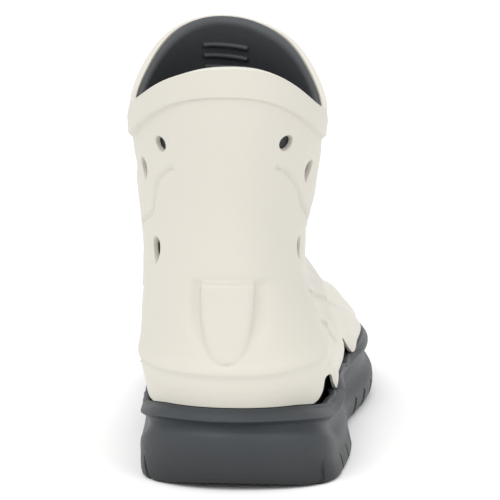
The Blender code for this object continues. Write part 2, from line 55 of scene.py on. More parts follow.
# Sections of the shell: level, y and z at the back and at the front, x at the back and at the front, how blunt
# the heel and the toe are, then three half widths of the outer side and of the inner side, and how far the
# sides hang below the ends, all but the level and the bluntness as shares of LENGTH, HEIGHT or BALL_WIDTH
SHELL_SECTIONS = (
    (0.0, 0.025, 0.1379, 0.95, 0.1429, 0.0, -0.0796, 0.15, 0.3,
     0.35, 0.389, 0.469, 0.341, 0.403, 0.407, 0.0),
    (0.07, 0.02, 0.1847, 0.96, 0.1872, 0.0, -0.0796, 0.15, 0.3,
     0.365, 0.403, 0.464, 0.361, 0.429, 0.423, 0.0),
    (0.13, 0.0107, 0.2266, 0.9617, 0.2266, 0.0, -0.0796, 0.155, 0.31,
     0.382, 0.4, 0.404, 0.377, 0.432, 0.427, 0.0),
    (0.18, 0.0067, 0.2611, 0.9483, 0.2502, 0.0, -0.0796, 0.16, 0.35,
     0.386, 0.384, 0.336, 0.384, 0.421, 0.407, 0.0),
    (0.26, 0.0117, 0.3251, 0.8967, 0.2783, -0.0027, -0.0841, 0.18, 0.39,
     0.366, 0.343, 0.278, 0.382, 0.395, 0.363, 0.0),
    (0.34, 0.0217, 0.3941, 0.8217, 0.3103, -0.0044, -0.0885, 0.21, 0.43,
     0.335, 0.312, 0.258, 0.377, 0.367, 0.327, 0.0),
    (0.42, 0.03, 0.4581, 0.7367, 0.3571, -0.0053, -0.0929, 0.25, 0.45,
     0.299, 0.288, 0.248, 0.372, 0.358, 0.305, 0.0),
    (0.5, 0.035, 0.5222, 0.6483, 0.4163, -0.0071, -0.0973, 0.3, 0.47,
     0.295, 0.296, 0.264, 0.37, 0.358, 0.305, 0.0),
    (0.58, 0.0367, 0.5862, 0.5733, 0.4975, -0.0088, -0.0973, 0.36, 0.5,
     0.305, 0.313, 0.28, 0.37, 0.363, 0.314, 0.0049),
    (0.66, 0.035, 0.6502, 0.5067, 0.5862, -0.0106, -0.0973, 0.42, 0.5,
     0.331, 0.343, 0.305, 0.372, 0.37, 0.327, 0.0197),
    (0.74, 0.0307, 0.7143, 0.4617, 0.6847, -0.0133, -0.0973, 0.47, 0.5,
     0.359, 0.368, 0.332, 0.379, 0.377, 0.341, 0.0443),
    (0.82, 0.0247, 0.7783, 0.4333, 0.7882, -0.0159, -0.0973, 0.5, 0.5,
     0.38, 0.385, 0.363, 0.384, 0.382, 0.361, 0.0739),
    (0.9, 0.018, 0.8571, 0.4117, 0.8892, -0.0177, -0.1062, 0.5, 0.5,
     0.393, 0.396, 0.386, 0.383, 0.382, 0.377, 0.1059),
    (1.0, 0.0127, 0.9581, 0.3933, 0.9951, -0.0195, -0.1062, 0.5, 0.5,
     0.407, 0.418, 0.418, 0.384, 0.384, 0.384, 0.1281),
)
# Shares of the way to the front at which the three half widths hold
STATIONS = (0.16, 0.45, 0.72)
# Outline of the sole: share of LENGTH, and x of its outer and its inner side as shares of BALL_WIDTH
OUTLINE = (
    (0.0267, 0.2602, -0.2398),
    (0.0733, 0.385, -0.3602),
    (0.14, 0.4165, -0.3938),
    (0.2267, 0.4275, -0.4062),
    (0.3267, 0.4165, -0.4257),
    (0.42, 0.3965, -0.4425),
    (0.5067, 0.417, -0.4619),
    (0.5933, 0.4475, -0.4823),
    (0.6733, 0.4584, -0.508),
    (0.7467, 0.4398, -0.5204),
    (0.8133, 0.4009, -0.5115),
    (0.88, 0.3416, -0.4735),
    (0.9367, 0.2504, -0.3982),
    (0.9767, 0.1301, -0.2788),
)
TOE_TIP_X = -0.008
# Rise of the toe and the share of LENGTH where it starts, and height and length of the bevel at the rear
TOE_SPRING, SPRING_START = 0.0125, 0.683
HEEL_BEVEL, HEEL_BEVEL_LENGTH = 0.004, 0.018
# Shares of LENGTH between which the side of the sole goes over from the heel's profile to the ball's
HEEL_BLOCK_END, BALL_BLOCK_START = 0.285, 0.45
# Lower edge of the shell with its hooked teeth, and the rim of the sole that follows it and dips below the
# drain openings: distance from the heel and height, in metres
SHELL_EDGE = (
    (-0.009, 0.038), (0.0, 0.038), (0.02, 0.0365), (0.032, 0.0343), (0.038, 0.035), (0.045, 0.0372),
    (0.053, 0.0398), (0.061, 0.0408), (0.068, 0.0404), (0.0725, 0.0388), (0.0765, 0.0352), (0.083, 0.0306),
    (0.0875, 0.0303), (0.096, 0.0324), (0.106, 0.0342), (0.116, 0.0352), (0.121, 0.036), (0.127, 0.0386),
    (0.134, 0.0408), (0.142, 0.0412), (0.149, 0.0402), (0.154, 0.0376), (0.159, 0.0338), (0.1645, 0.0302),
    (0.168, 0.0301), (0.178, 0.0328), (0.19, 0.0348), (0.199, 0.0357), (0.207, 0.037), (0.214, 0.0374),
    (0.221, 0.0368), (0.227, 0.0346), (0.233, 0.0316), (0.236, 0.031), (0.24, 0.0313), (0.25, 0.0332),
    (0.265, 0.0344), (0.29, 0.035), (0.309, 0.0352),
)
RIM_EDGE = (
    (-0.009, 0.0377), (0.0, 0.0377), (0.02, 0.0362), (0.031, 0.034), (0.037, 0.033), (0.045, 0.0315),
    (0.056, 0.0305), (0.066, 0.0302), (0.076, 0.0301), (0.084, 0.0301), (0.0875, 0.03), (0.096, 0.0321),
    (0.106, 0.0339), (0.115, 0.0347), (0.12, 0.0341), (0.126, 0.0326), (0.133, 0.0309), (0.142, 0.0299),
    (0.152, 0.0295), (0.16, 0.0297), (0.1645, 0.0298), (0.168, 0.0298), (0.178, 0.0325), (0.19, 0.0345),
    (0.198, 0.0352), (0.204, 0.0341), (0.21, 0.032), (0.218, 0.0306), (0.228, 0.0303), (0.236, 0.0306),
    (0.24, 0.031), (0.25, 0.0329), (0.265, 0.0341), (0.29, 0.0347), (0.309, 0.0349),
)
# How far the rim spreads at a drain opening, how far the corners of both edges are rounded, and the distances
# of the teeth from the heel
RIM_SPREAD, TOOTH_ROUND = 0.003, 0.0009
TEETH = (0.085, 0.1663, 0.237)

# Side of the sole from the floor up: inset and height at the side of the heel, how much higher the line
# runs across the back of the heel, and inset and height at the ball, in metres
SOLE_PROFILE = (
    (0.004, 0.0, 0.0, 0.004, 0.0),
    (0.0018, 0.0001, 0.0, 0.0018, 0.0004),
    (0.0008, 0.0007, 0.0002, 0.0004, 0.0016),
    (0.0003, 0.002, 0.0006, -0.0006, 0.0036),
    (0.0001, 0.0048, 0.002, -0.0012, 0.0064),
    (0.0001, 0.0085, 0.0042, -0.0013, 0.0094),
    (0.0, 0.0122, 0.0066, -0.001, 0.0118),
    (0.0002, 0.0145, 0.008, 0.0002, 0.0134),
    (0.0009, 0.0162, 0.0087, 0.0018, 0.015),
    (0.0022, 0.0178, 0.0088, 0.0028, 0.0168),
    (0.0035, 0.0198, 0.0084, 0.0034, 0.019),
    (0.0041, 0.0222, 0.0074, 0.0034, 0.0212),
    (0.0036, 0.0244, 0.0062, 0.0028, 0.0232),
    (0.0022, 0.0261, 0.0052, 0.0018, 0.025),
    (0.0008, 0.0272, 0.0046, 0.0012, 0.0262),
    (0.0002, 0.0278, 0.0044, 0.0011, 0.0268),
    (0.0002, 0.0283, 0.0042, 0.0012, 0.0273),
)
# Bevel from the parting line up to the rim, as inset and share of the way
RIM_PROFILE = ((0.0007, 0.1), (0.0013, 0.3), (0.0022, 0.6), (0.003, 0.88))

# Holes in the shell, two small round ones and the drops: how pointed they are, then degrees round the loop
# from the back, level, width and height of each
HOLES = (
    (0.12, ((40.3, 0.838, 0.0082, 0.0064), (-43.8, 0.834, 0.0076, 0.0064))),
    (0.8, (
        (62.8, 0.766, 0.0088, 0.0096), (-61.2, 0.765, 0.0088, 0.0098), (54.8, 0.515, 0.0088, 0.0092),
        (-41.0, 0.508, 0.0084, 0.0112), (100.0, 0.765, 0.0082, 0.012), (-100.0, 0.77, 0.0082, 0.012),
        (86.0, 0.58, 0.0088, 0.0138), (-84.0, 0.59, 0.0088, 0.0138), (128.0, 0.64, 0.0088, 0.0138),
        (-130.0, 0.65, 0.0088, 0.0138), (118.0, 0.4, 0.009, 0.0146), (-120.0, 0.41, 0.009, 0.0146),
        (142.0, 0.33, 0.0088, 0.0138), (-144.0, 0.34, 0.0088, 0.0138),
    )),
)
# Drain openings over the rim of the sole: distance from the heel to the middle, and length
DRAINS = ((0.055, 0.038), (0.14, 0.026), (0.213, 0.022))
# Moulded lines of the rear panel, as degrees round the loop and level
PANEL_LINES = (
    (
        (-33.5, 0.755), (-38.5, 0.746), (-43.0, 0.732), (-46.5, 0.705), (-47.5, 0.652), (-49.0, 0.617),
        (-60.0, 0.587),
    ),
    (
        (33.0, 0.762), (37.5, 0.756), (42.0, 0.745), (50.0, 0.712), (56.0, 0.665), (62.0, 0.63),
        (77.5, 0.582),
    ),
)
# Creases of the waves on the forefoot and the vamp, on both sides: strength, then degrees and level
WAVE_LINES = (
    (0.8, (
        (46.0, 0.41), (58.0, 0.378), (69.0, 0.352), (78.0, 0.324), (87.5, 0.29), (98.0, 0.232),
        (105.0, 0.172), (110.0, 0.125),
    )),
    (0.4, ((74.0, 0.41), (78.5, 0.392), (85.5, 0.365), (93.0, 0.33))),
    (0.45, ((97.0, 0.355), (106.0, 0.305), (114.0, 0.262))),
    (0.8, ((46.0, 0.3), (52.0, 0.29), (61.5, 0.262), (69.0, 0.208), (73.0, 0.152), (76.0, 0.105))),
    (0.8, ((108.0, 0.25), (120.0, 0.225), (131.0, 0.172), (140.0, 0.16), (150.0, 0.118))),
    (0.7, ((118.0, 0.365), (129.0, 0.335), (140.0, 0.272), (150.0, 0.255))),
)
# The dent that both sides have where two creases meet: degrees and level
WAVE_DENT = (80.5, 0.225)
# How far the rim of the collar hangs below the plain form: degrees round the loop, and drop in metres
RIM_SAG = (
    (-172, 0.0006), (-158, 0.0012), (-140, 0.0006), (-118, 0.0), (-95, 0.0004), (-64, 0.0016), (-42, 0.0027),
    (-27, 0.0029), (-14, 0.0012), (0, 0.0), (14, 0.0003), (27, 0.0012), (40, 0.0022), (54, 0.0027),
    (72, 0.0038), (90, 0.0034), (108, 0.0018), (125, 0.001), (140, 0.0014), (154, 0.0024), (166, 0.0016),
    (176, 0.0006),
)
# Channels across the tread: share of the length, and how far and which way each swings
TREAD_CHANNELS = (
    (0.053, -0.6), (0.127, 1.0), (0.197, 1.0), (0.267, 1.0), (0.483, 1.0), (0.553, 1.0), (0.623, 1.0),
    (0.693, 1.0), (0.763, 1.0), (0.833, 1.0), (0.903, 1.0),
)
# Zigzag of a channel: x as a share of BALL_WIDTH, and share of the swing
CHANNEL_ZIGZAG = ((-0.7, 1.0), (-0.27, -1.0), (-0.09, 1.0), (0.09, -1.0), (0.27, 1.0), (0.7, -1.0))
# Over the collar from the outer face to the inner one: share of the way through, and rise
COLLAR_RIM = ((0.0, -0.0008), (0.12, -0.0002), (0.32, 0.0001), (0.62, 0.0001), (0.88, -0.0003))
# Lip of the bootie, over its top and down the bevel: level, and share of the way through its wall
LIP = (
    (0.9915, 0.0), (0.9955, 0.04), (0.998, 0.11), (0.9992, 0.22), (0.9995, 0.38), (0.999, 0.55),
    (0.9975, 0.7), (0.995, 0.83), (0.9915, 0.93), (0.9875, 0.985), (0.983, 1.0),
)
# Over the rim of the sole and down inside it: shares of the ledge, of the shell's wall and of the spread at
# the drains, and lift
RIM_TOP = (
    (-1.0, 0.0, 1.0, -0.0009), (-0.7, 0.0, 1.0, -0.0003), (-0.2, 0.0, 1.0, 0.0), (0.0, 1.0, 1.32, -0.0003),
    (0.0, 1.0, 1.25, -0.004),
)
# How much of the spread is kept at each distance from the heel
SPREAD_SHARES = ((0.08, 0.12, 0.15, 0.2), (1.0, 1.15, 0.9, 0.2))
# Top of the footbed from its edge to its middle line: share of the way, and rise
FOOTBED_PROFILE = (
    (0.02, 0.0009), (0.06, 0.0011), (0.14, 0.0006), (0.26, 0.0001), (0.42, -0.0002), (0.62, -0.0002),
    (0.82, 0.0),
)
# Swellings and hollows of the outer side: how proud, then distance from the heel and height of the middle,
# each followed by how far it reaches
SIDE_SWELLS = (
    (-0.003, 0.216, 0.032, 0.048, 0.01), (0.0066, 0.158, 0.026, 0.074, 0.014),
    (0.001, 0.254, 0.016, 0.0475, 0.006), (-0.0025, 0.228, 0.022, 0.0395, 0.007),
)
# Level of the skirt of the shell, and the normal level of the collar band's lower edge
SKIRT_LEVEL, BAND_ROW = 0.07, 0.885
# Height of the floor of the sole's cup at the heel, and how far it drops to the ball
CUP_HEIGHT, CUP_DROP = 0.02, 0.007


def clamp01(t):
    return np.clip(t, 0.0, 1.0)


def ease(t):
    t = clamp01(t)
    return t * t * (3.0 - 2.0 * t)


def hump(distance, width):
    """A soft rounded rise of height one that fades out over width."""
    return np.exp(-((distance / width) ** 2))


def natural_spline(knots, values, at):
    """A smooth curve through rows of values, straight beyond its ends."""
    knots, values = np.asarray(knots, float), np.asarray(values, float)
    count = len(knots)
    step = np.diff(knots)
    system, right = np.eye(count), np.zeros_like(values)
    for i in range(1, count - 1):
        system[i, i - 1], system[i, i], system[i, i + 1] = step[i - 1], 2.0 * (step[i - 1] + step[i]), step[i]
        right[i] = 6.0 * ((values[i + 1] - values[i]) / step[i] - (values[i] - values[i - 1]) / step[i - 1])
    bend = np.linalg.solve(system, right)
    at = np.asarray(at, float)
    inside = np.clip(at, knots[0], knots[-1])
    k = np.clip(np.searchsorted(knots, inside, side="right") - 1, 0, count - 2)
    h = step[k]
    a = (knots[k + 1] - inside) / h
    b = 1.0 - a
    if values.ndim > 1:
        a, b, h = a[..., None], b[..., None], h[..., None]
    curve = a * values[k] + b * values[k + 1]
    curve = curve + ((a**3 - a) * bend[k] + (b**3 - b) * bend[k + 1]) * h * h / 6.0
    low = (values[1] - values[0]) / step[0] - step[0] * bend[1] / 6.0
    high = (values[-1] - values[-2]) / step[-1] + step[-1] * bend[-2] / 6.0
    over = at - inside
    if values.ndim > 1:
        over = over[..., None]
    return curve + np.where(over < 0.0, low, high) * over


def blurred(function, at, reach, count):
    """The mean of a function over places that lie up to reach on both sides of each."""
    return np.mean([function(at + shift) for shift in np.linspace(-reach, reach, count)], axis=0)


def unit(vectors):
    return vectors / np.linalg.norm(vectors, axis=-1, keepdims=True)


SHELL_TABLE = np.array(SHELL_SECTIONS)
SHELL_SCALE = np.array(
    [LENGTH, HEIGHT, LENGTH, HEIGHT, BALL_WIDTH, BALL_WIDTH, 1.0, 1.0] + [BALL_WIDTH] * 6 + [HEIGHT]
)


def shell_point(turn, level):
    """The outer form of the shell: turn runs from the back (0) round the outer side to the front (pi)."""
    turn, level = np.broadcast_arrays(np.asarray(turn, float), np.asarray(level, float))
    row = natural_spline(SHELL_TABLE[:, 0], SHELL_TABLE[:, 1:] * SHELL_SCALE, level)
    ends = np.moveaxis(row[..., :8], -1, 0)
    back_y, back_z, front_y, front_z, back_x, front_x, heel_round, toe_round = ends
    share, side = 0.5 - 0.5 * np.cos(turn), np.sin(turn)
    widths = np.where((side >= 0.0)[..., None], row[..., 8:11], row[..., 11:14])
    a, b, c = np.moveaxis(widths, -1, 0)
    sa, sb, sc = STATIONS
    ta, tb = ease((share - sa) / (sb - sa)), ease((share - sb) / (sc - sb))
    width = a + (b - a) * ta + (c - b) * tb
    heel = np.sqrt(1.0 - (1.0 - clamp01(share / heel_round)) ** 2)
    toe = np.sqrt(1.0 - (1.0 - clamp01((1.0 - share) / toe_round)) ** 2)
    x = back_x + (front_x - back_x) * share + np.sign(side) * width * heel * toe
    y = back_y + (front_y - back_y) * share
    z = back_z + (front_z - back_z) * share - row[..., 14] * np.abs(side) ** 3
    x = x + side_fit(x, y, z)
    return np.stack([x, y, z], -1)


def side_fit(x, y, z):
    """Small swellings and hollows of the outer side, as seen past the heel."""
    near = 0.0025 * (ease((y - 0.055) / 0.025) - ease((y - 0.125) / 0.030)) * ease((0.054 - z) / 0.014)
    ball = 0.0020 * hump(y - 0.186, 0.026) * ease((0.048 - z) / 0.010)
    swell = sum(
        proud * hump(y - far, length) * hump(z - high, reach) for proud, far, length, high, reach in SIDE_SWELLS
    )
    shaft = -0.0010 * hump(z - 0.118, 0.028)
    return (near + ball + swell) * ease(x / 0.030) + shaft * ease(-x / 0.030)


def shell_normal(turn, level):
    along = shell_point(turn + 0.02, level) - shell_point(turn - 0.02, level)
    up = shell_point(turn, level + 0.01) - shell_point(turn, level - 0.01)
    return unit(np.cross(along, up))


def skirt_y(turn):
    """Distance from the heel of the shell's skirt at each angle."""
    return shell_point(turn, SKIRT_LEVEL)[..., 1]


def rounded(table, y):
    """Height along a table of distances and heights, its corners rounded."""
    rows = np.array(table)
    return blurred(lambda at: np.interp(at, rows[:, 0], rows[:, 1]), y, TOOTH_ROUND, 5)


def shell_edge(y):
    return rounded(SHELL_EDGE, y)


def rim_edge(y):
    return rounded(RIM_EDGE, y)


def level_at_height(turn, target):
    """The level at which the form is at a height that depends on its y."""
    turn = np.asarray(turn, float)
    low, high = np.full_like(turn, -0.1), np.full_like(turn, 0.7)
    for _ in range(24):
        middle = 0.5 * (low + high)
        point = shell_point(turn, middle)
        below = point[..., 2] < target(point[..., 1])
        low, high = np.where(below, middle, low), np.where(below, high, middle)
    return 0.5 * (low + high)


def turns_round(count, crowd):
    """Angles round a loop, from -pi to pi, crowded where the teeth and the drain openings are."""
    steps = 10000
    fine = np.linspace(-math.pi, math.pi, 2 * steps + 1)
    y = skirt_y(fine)
    weight = np.ones_like(fine)
    for far in TEETH:
        weight += crowd * hump(y - far, 0.0075)
    total = np.concatenate([[0.0], np.cumsum(0.5 * (weight[1:] + weight[:-1]))])
    even = np.linspace(0.0, total[steps], count // 2 + 1)
    half = np.interp(even, total[:steps + 1], fine[:steps + 1])
    return np.concatenate([half, -half[-2:0:-1]])


def even_turns(count):
    """Even angles round a loop from the back, those of its second half negative."""
    turn = np.arange(count) * 2.0 * math.pi / count
    return np.where(turn > math.pi, turn - 2.0 * math.pi, turn)


def rim_spread(turn):
    """How far the rim stands off the form where a drain opens over it, most at the heel."""
    y = skirt_y(turn)
    opening = blurred(lambda at: ease((shell_edge(at) - rim_edge(at) - 0.0006) / 0.0075), y, 0.006, 7)
    return RIM_SPREAD * np.interp(y, *SPREAD_SHARES) * opening


def skirt_ring(turn, target, depth, lift=0.0):
    """A ring where the form passes a height that depends on y, moved level inward by depth."""
    level = level_at_height(turn, target)
    normal = shell_normal(turn, level)
    normal[..., 2] = 0.0
    moved = unit(normal) * np.asarray(depth)[..., None]
    return shell_point(turn, level) - moved + np.array([0.0, 0.0, lift])


def outline_knots():
    """Angles and x of the outline of the sole, once round, with the heel and the toe tip in it."""
    rows = np.array(OUTLINE)
    angle = np.arccos(1.0 - 2.0 * rows[:, 0])
    angles = np.concatenate([[0.0], angle, [math.pi], (2.0 * math.pi - angle)[::-1]])
    xs = np.concatenate([[0.0], rows[:, 1] * BALL_WIDTH, [TOE_TIP_X], rows[::-1, 2] * BALL_WIDTH])
    angles = np.concatenate([angles[-5:] - 2 * math.pi, angles, angles[:5] + 2 * math.pi])
    return angles, np.concatenate([xs[-5:], xs, xs[:5]])


OUTLINE_ANGLES, OUTLINE_XS = outline_knots()


def outline_point(angle):
    x = natural_spline(OUTLINE_ANGLES, OUTLINE_XS, angle)
    return np.stack([x, LENGTH * (0.5 - 0.5 * np.cos(angle))], -1)


def outline_inward(angle):
    along = outline_point(angle + 0.03) - outline_point(angle - 0.03)
    return unit(np.stack([-along[..., 1], along[..., 0]], -1))


def floor_lift(y):
    """How far the underside is off the floor: the toe spring and the bevel at the rear."""
    spring = TOE_SPRING * clamp01((y / LENGTH - SPRING_START) / (1.0 - SPRING_START)) ** 1.7
    return spring + HEEL_BEVEL * clamp01(1.0 - y / HEEL_BEVEL_LENGTH) ** 1.5


def cup_floor(y):
    drop = ease((y / LENGTH - 0.20) / 0.43)
    return CUP_HEIGHT - CUP_DROP * drop + floor_lift(y) * (y > LENGTH / 3.0)


def placed(points):
    return np.asarray(points, float) - np.array([MIDDLE_X, LENGTH / 2.0, 0.0])


def path_distance(points, path):
    """Distance from each point to a line through the path's points."""
    best = np.full(points.shape[:-1], 1e9)
    for a, b in zip(path[:-1], path[1:]):
        along = b - a
        t = clamp01(((points - a) @ along) / (along @ along))
        best = np.minimum(best, np.linalg.norm(points - a - t[..., None] * along, axis=-1))
    return best


def fine_path(knots, count=40):
    """Points on the shell along a smooth line through rows of degrees and level."""
    rows = np.array(knots)
    at = np.linspace(0.0, len(rows) - 1.0, count)
    line = natural_spline(np.arange(len(rows)), rows, at)
    return shell_point(np.radians(line[:, 0]), line[:, 1])


def raw_object(name, points, edges=(), faces=()):
    """A new object with a plain mesh, linked to the scene."""
    mesh = bpy.data.meshes.new(name)
    mesh.from_pydata(np.reshape(points, (-1, 3)).tolist(), edges, faces)
    obj = bpy.data.objects.new(name, mesh)
    bpy.context.scene.collection.objects.link(obj)
    return obj


def closed_object(name, points, faces):
    """A new object whose faces all look outward."""
    obj = raw_object(name, points, faces=faces)
    body = bmesh.new()
    body.from_mesh(obj.data)
    bmesh.ops.recalc_face_normals(body, faces=body.faces)
    body.to_mesh(obj.data)
    body.free()
    return obj


def discard(obj):
    mesh = obj.data
    bpy.data.objects.remove(obj)
    bpy.data.meshes.remove(mesh)


def ring_faces(rings, around, closed=False):
    """Quads between rings of points, and from the last ring back to the first when closed."""
    faces = []
    for r in range(rings if closed else rings - 1):
        first, second = r * around, ((r + 1) % rings) * around
        for i in range(around):
            j = (i + 1) % around
            faces.append((first + i, first + j, second + j, second + i))
    return faces


def cap_faces(first, around):
    """Closes a loop with strips across it, from point 0 at the heel to the one half way round at the toe."""
    half = around // 2
    faces = [(first, first + 1, first + around - 1)]
    for i in range(1, half - 1):
        faces.append((first + i, first + i + 1, first + around - i - 1, first + around - i))
    faces.append((first + half - 1, first + half, first + half + 1))
    return faces


def capped_faces(rings, around):
    """Quads between rings of points, with the first and the last ring closed."""
    return ring_faces(rings, around) + cap_faces(0, around) + cap_faces((rings - 1) * around, around)


def shade(obj, degrees):
    """Smooth shading that breaks at edges sharper than an angle."""
    mesh = obj.data
    mesh.polygons.foreach_set("use_smooth", [True] * len(mesh.polygons))
    mesh.set_sharp_from_angle(angle=math.radians(degrees))
    mesh.update()


def plain_mesh(obj):
    """The object with its modifiers applied and removed."""
    graph = bpy.context.evaluated_depsgraph_get()
    mesh = bpy.data.meshes.new_from_object(obj.evaluated_get(graph))
    obj.modifiers.clear()
    old = obj.data
    obj.data = mesh
    if old.users == 0:
        bpy.data.meshes.remove(old)
    return obj


def cut_away(obj, cutter):
    """Cuts the cutter's closed bodies out of the object and removes the cutter."""
    modifier = obj.modifiers.new("Cut", "BOOLEAN")
    modifier.operation = "DIFFERENCE"
    modifier.solver = "MANIFOLD"
    modifier.object = cutter
    plain_mesh(obj)
    discard(cutter)
    if not obj.data.polygons:
        raise RuntimeError(f"{obj.name}: the cut left nothing")


def dressed(obj, slot, material, *nodes):
    """Gives a finished piece its material and its body, and hides the nodes that it stands for. Slot is not
    used.
    """
    obj.data.materials.clear()
    obj.data.materials.append(material)
    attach(obj, "root")
    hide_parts(*nodes)


# The relief of the shell

def band_level(turn):
    """Level of the lower edge of the collar band, highest at the back."""
    return 0.876 + 0.056 * clamp01(np.cos(turn)) ** 1.15


def heel_ridge(point, turn):
    right = 0.0012 * ease((turn - 0.15) / 0.35) + 0.0060 * ease((turn - 0.45) / 0.85)
    left = 0.0012 * ease((-turn - 0.40) / 0.40) + 0.0030 * ease((-turn - 0.75) / 0.55)
    rise = point[..., 2] - 0.0543 - right - left
    shape = np.where(rise > 0.0, hump(rise, 0.0055), hump(rise, 0.0022))
    return 0.0012 * shape * ease((1.55 - np.abs(turn)) / 0.5)


def heel_tab(point, sizes):
    """The kick-off tab: a shield that is proudest at its flat top, with a soft valley down each side."""
    x, z = point[..., 0] + 0.0011, point[..., 2]
    top, bottom, half = sizes.tab_top, sizes.tab_bottom, 0.5 * sizes.tab_width
    down = clamp01((top - z) / (top - bottom))
    width = half * (1.0 - down**3.2) ** (1.0 / 2.2)
    beyond = np.abs(x) - width
    below = ease((z - bottom + 0.0006) / 0.0012)
    face = 1.0 - ease((beyond + 0.0004) / 0.0020)
    crown = sizes.tab_depth * (0.10 + 0.90 * (1.0 - down) ** 0.85)
    lip = 1.0 - ease((z - top + 0.0004) / 0.0030)
    raised = crown * face * lip * below
    valley_width = 0.0028 + 0.0012 * (x > 0.0)
    fade = ease((z - bottom) / 0.0200) * ease((top + 0.004 - z) / 0.0050)
    valley = 0.0014 * hump(beyond - 0.0034, valley_width) * fade * (beyond > -0.002)
    groove = hump(beyond - 0.0006, 0.0009) * ease((top - 0.012 - z) / 0.010)
    groove = 0.00035 * groove * ease((z - bottom + 0.003) / 0.002)
    foot = 0.00035 * hump(z - bottom + 0.0004, 0.0009) * (np.abs(x) < 0.35 * half)
    near = ease((0.060 - point[..., 1]) / 0.010)
    return (raised - valley - groove - foot) * near


def panel_lines(point, turn):
    total = np.zeros(point.shape[:-1])
    rows = np.abs(turn) < 1.7
    for line in PANEL_LINES:
        gap = path_distance(point[rows], fine_path(line))
        total[rows] -= 0.0012 * hump(gap, 0.0011) - 0.0003 * hump(gap, 0.0045)
    return total


def hole_scoops(point, depth):
    """A shallow dish on the forward side of each hole."""
    total = np.zeros(point.shape[:-1])
    for degrees, level, width, height in [hole for _, holes in HOLES for hole in holes]:
        turn = math.radians(degrees)
        centre = shell_point(turn, level)
        ahead = unit(shell_point(turn + math.copysign(0.05, degrees), level) - centre)
        gap = point - centre - ahead * 0.42 * width
        along, up = gap @ ahead, gap[..., 2]
        far = np.sqrt((along / (0.95 * width)) ** 2 + (up / (0.72 * height)) ** 2)
        total -= depth * hump(far, 0.80)
    return total


def wave_relief(point, turn, depth):
    """Wave-like creases on the forefoot and vamp: each is a soft step, high above and cut back below."""
    total = np.zeros(point.shape[:-1])
    for strength, line in WAVE_LINES:
        for side in (1.0, -1.0):
            rows = (np.sign(turn) == side) & (point[..., 2] < 0.115)
            path = fine_path([(side * degrees, level) for degrees, level in line])
            near = point[rows]
            gap = path_distance(near, path)
            height = np.interp(near[:, 1], path[:, 1], path[:, 2])
            over = np.where(near[:, 2] > height, 1.0, 0.0)
            start, end = path[:, 1].min(), path[:, 1].max()
            reach = ease((near[:, 1] - start - 0.002) / 0.022) * ease((end - near[:, 1]) / 0.014)
            step = over * hump(gap, 0.0046) * 0.70 - hump(height - 0.0008 - near[:, 2], 0.0019) * 0.85
            total[rows] += strength * step * reach
    for side in (1.0, -1.0):
        dent = shell_point(side * math.radians(WAVE_DENT[0]), WAVE_DENT[1])
        total -= 0.8 * hump(np.linalg.norm(point - dent, axis=-1), 0.0040)
    return depth * total


def tooth_flare(point):
    """The teeth stand out over the rim, with a scoop above each drain opening."""
    y, z = point[..., 1], point[..., 2]
    total = np.zeros(point.shape[:-1])
    for far in TEETH:
        total += 0.0021 * hump(y - far - 0.001, 0.0080) * ease((0.045 - z) / 0.013)
    for far, length in DRAINS:
        total -= 0.0010 * hump(y - far, 0.40 * length) * hump(z - 0.0445, 0.0040)
    return total


def band_offset(level, turn, step):
    side = ease((np.abs(turn) - 0.25) / 0.90)
    rise = ease((level - band_level(turn) + 0.0022) / (0.0038 + 0.0150 * side))
    roll = (0.0003 + 0.0016 * side * ease((2.7 - np.abs(turn)) / 1.2)) * (1.0 - ease((1.0 - level) / 0.062))
    return step * rise * (0.46 + 0.54 * side) - roll * rise


def rim_sag(turn, level):
    """How far the rim hangs lower than the plain form at the sides."""
    degrees, drops = np.array(RIM_SAG).T
    turns = np.radians(degrees)
    drop = blurred(lambda at: np.interp(at, turns, drops, period=2.0 * math.pi), turn, 0.12, 7)
    return drop * ease((level - 0.90) / 0.10)


def follow_edge(levels, turn):
    """Rows of levels for each angle, the lowest bent to the toothed edge of the shell."""
    rows = levels[:, None]
    return rows + level_at_height(turn, shell_edge) * clamp01(1.0 - rows / 0.3) ** 2


def shell_levels(turn, rows):
    """Levels of the rows of the shell for each angle: the first follow the toothed edge, and the rows
    that lie close together follow the lower edge of the collar band."""
    steps = [-0.010, -0.006, -0.004, -0.0028, -0.0020, -0.0012, -0.0004, 0.0004, 0.0012, 0.002, 0.004]
    close = BAND_ROW + np.array(steps)
    fine = np.linspace(0.0, BAND_ROW - 0.016, 4001)
    weight = 1.0 + 1.3 * hump(fine - 0.185, 0.022) + 1.5 * hump(fine - 0.432, 0.014) + 1.0 * hump(fine, 0.06)
    total = np.cumsum(weight)
    spread = np.interp(np.linspace(total[0], total[-1], rows), total, fine)
    levels = np.concatenate([spread, close, np.linspace(BAND_ROW + 0.009, 0.994, 16)])
    t = levels[:, None]
    below = ease((t - 0.60) / (BAND_ROW - 0.60))
    above = (1.0 - t) / (1.0 - BAND_ROW)
    shift = band_level(turn) - BAND_ROW
    return follow_edge(levels, turn) + shift * np.where(t < BAND_ROW, below, above)


def inner_face(turn, levels, depth):
    """Rows of points inside the form, at the depth that a function gives for level and angle."""
    level = follow_edge(levels, turn)
    turns = np.broadcast_to(turn, level.shape)
    points = shell_point(turns, level) - shell_normal(turns, level) * depth(level, turns)[..., None]
    points[..., 2] -= rim_sag(turns, level)
    return points


def edge_wall(turn, wall):
    """Wall at the very edge of the shell, which tapers where a tooth ends a drain opening."""
    y = skirt_y(turn)
    return wall - 0.0019 * np.max([hump(y - far + 0.012, 0.017) for far in TEETH], axis=0)


def wall_depth(level, turn, wall, rim_wall):
    """Depth of the inner face of the shell, which thins out behind the collar band toward the front."""
    rim = rim_wall + (0.0026 - rim_wall) * ease((2.85 - np.abs(turn)) / 0.85)
    return wall + (rim - wall) * ease((level - band_level(turn) - 0.004) / 0.020)


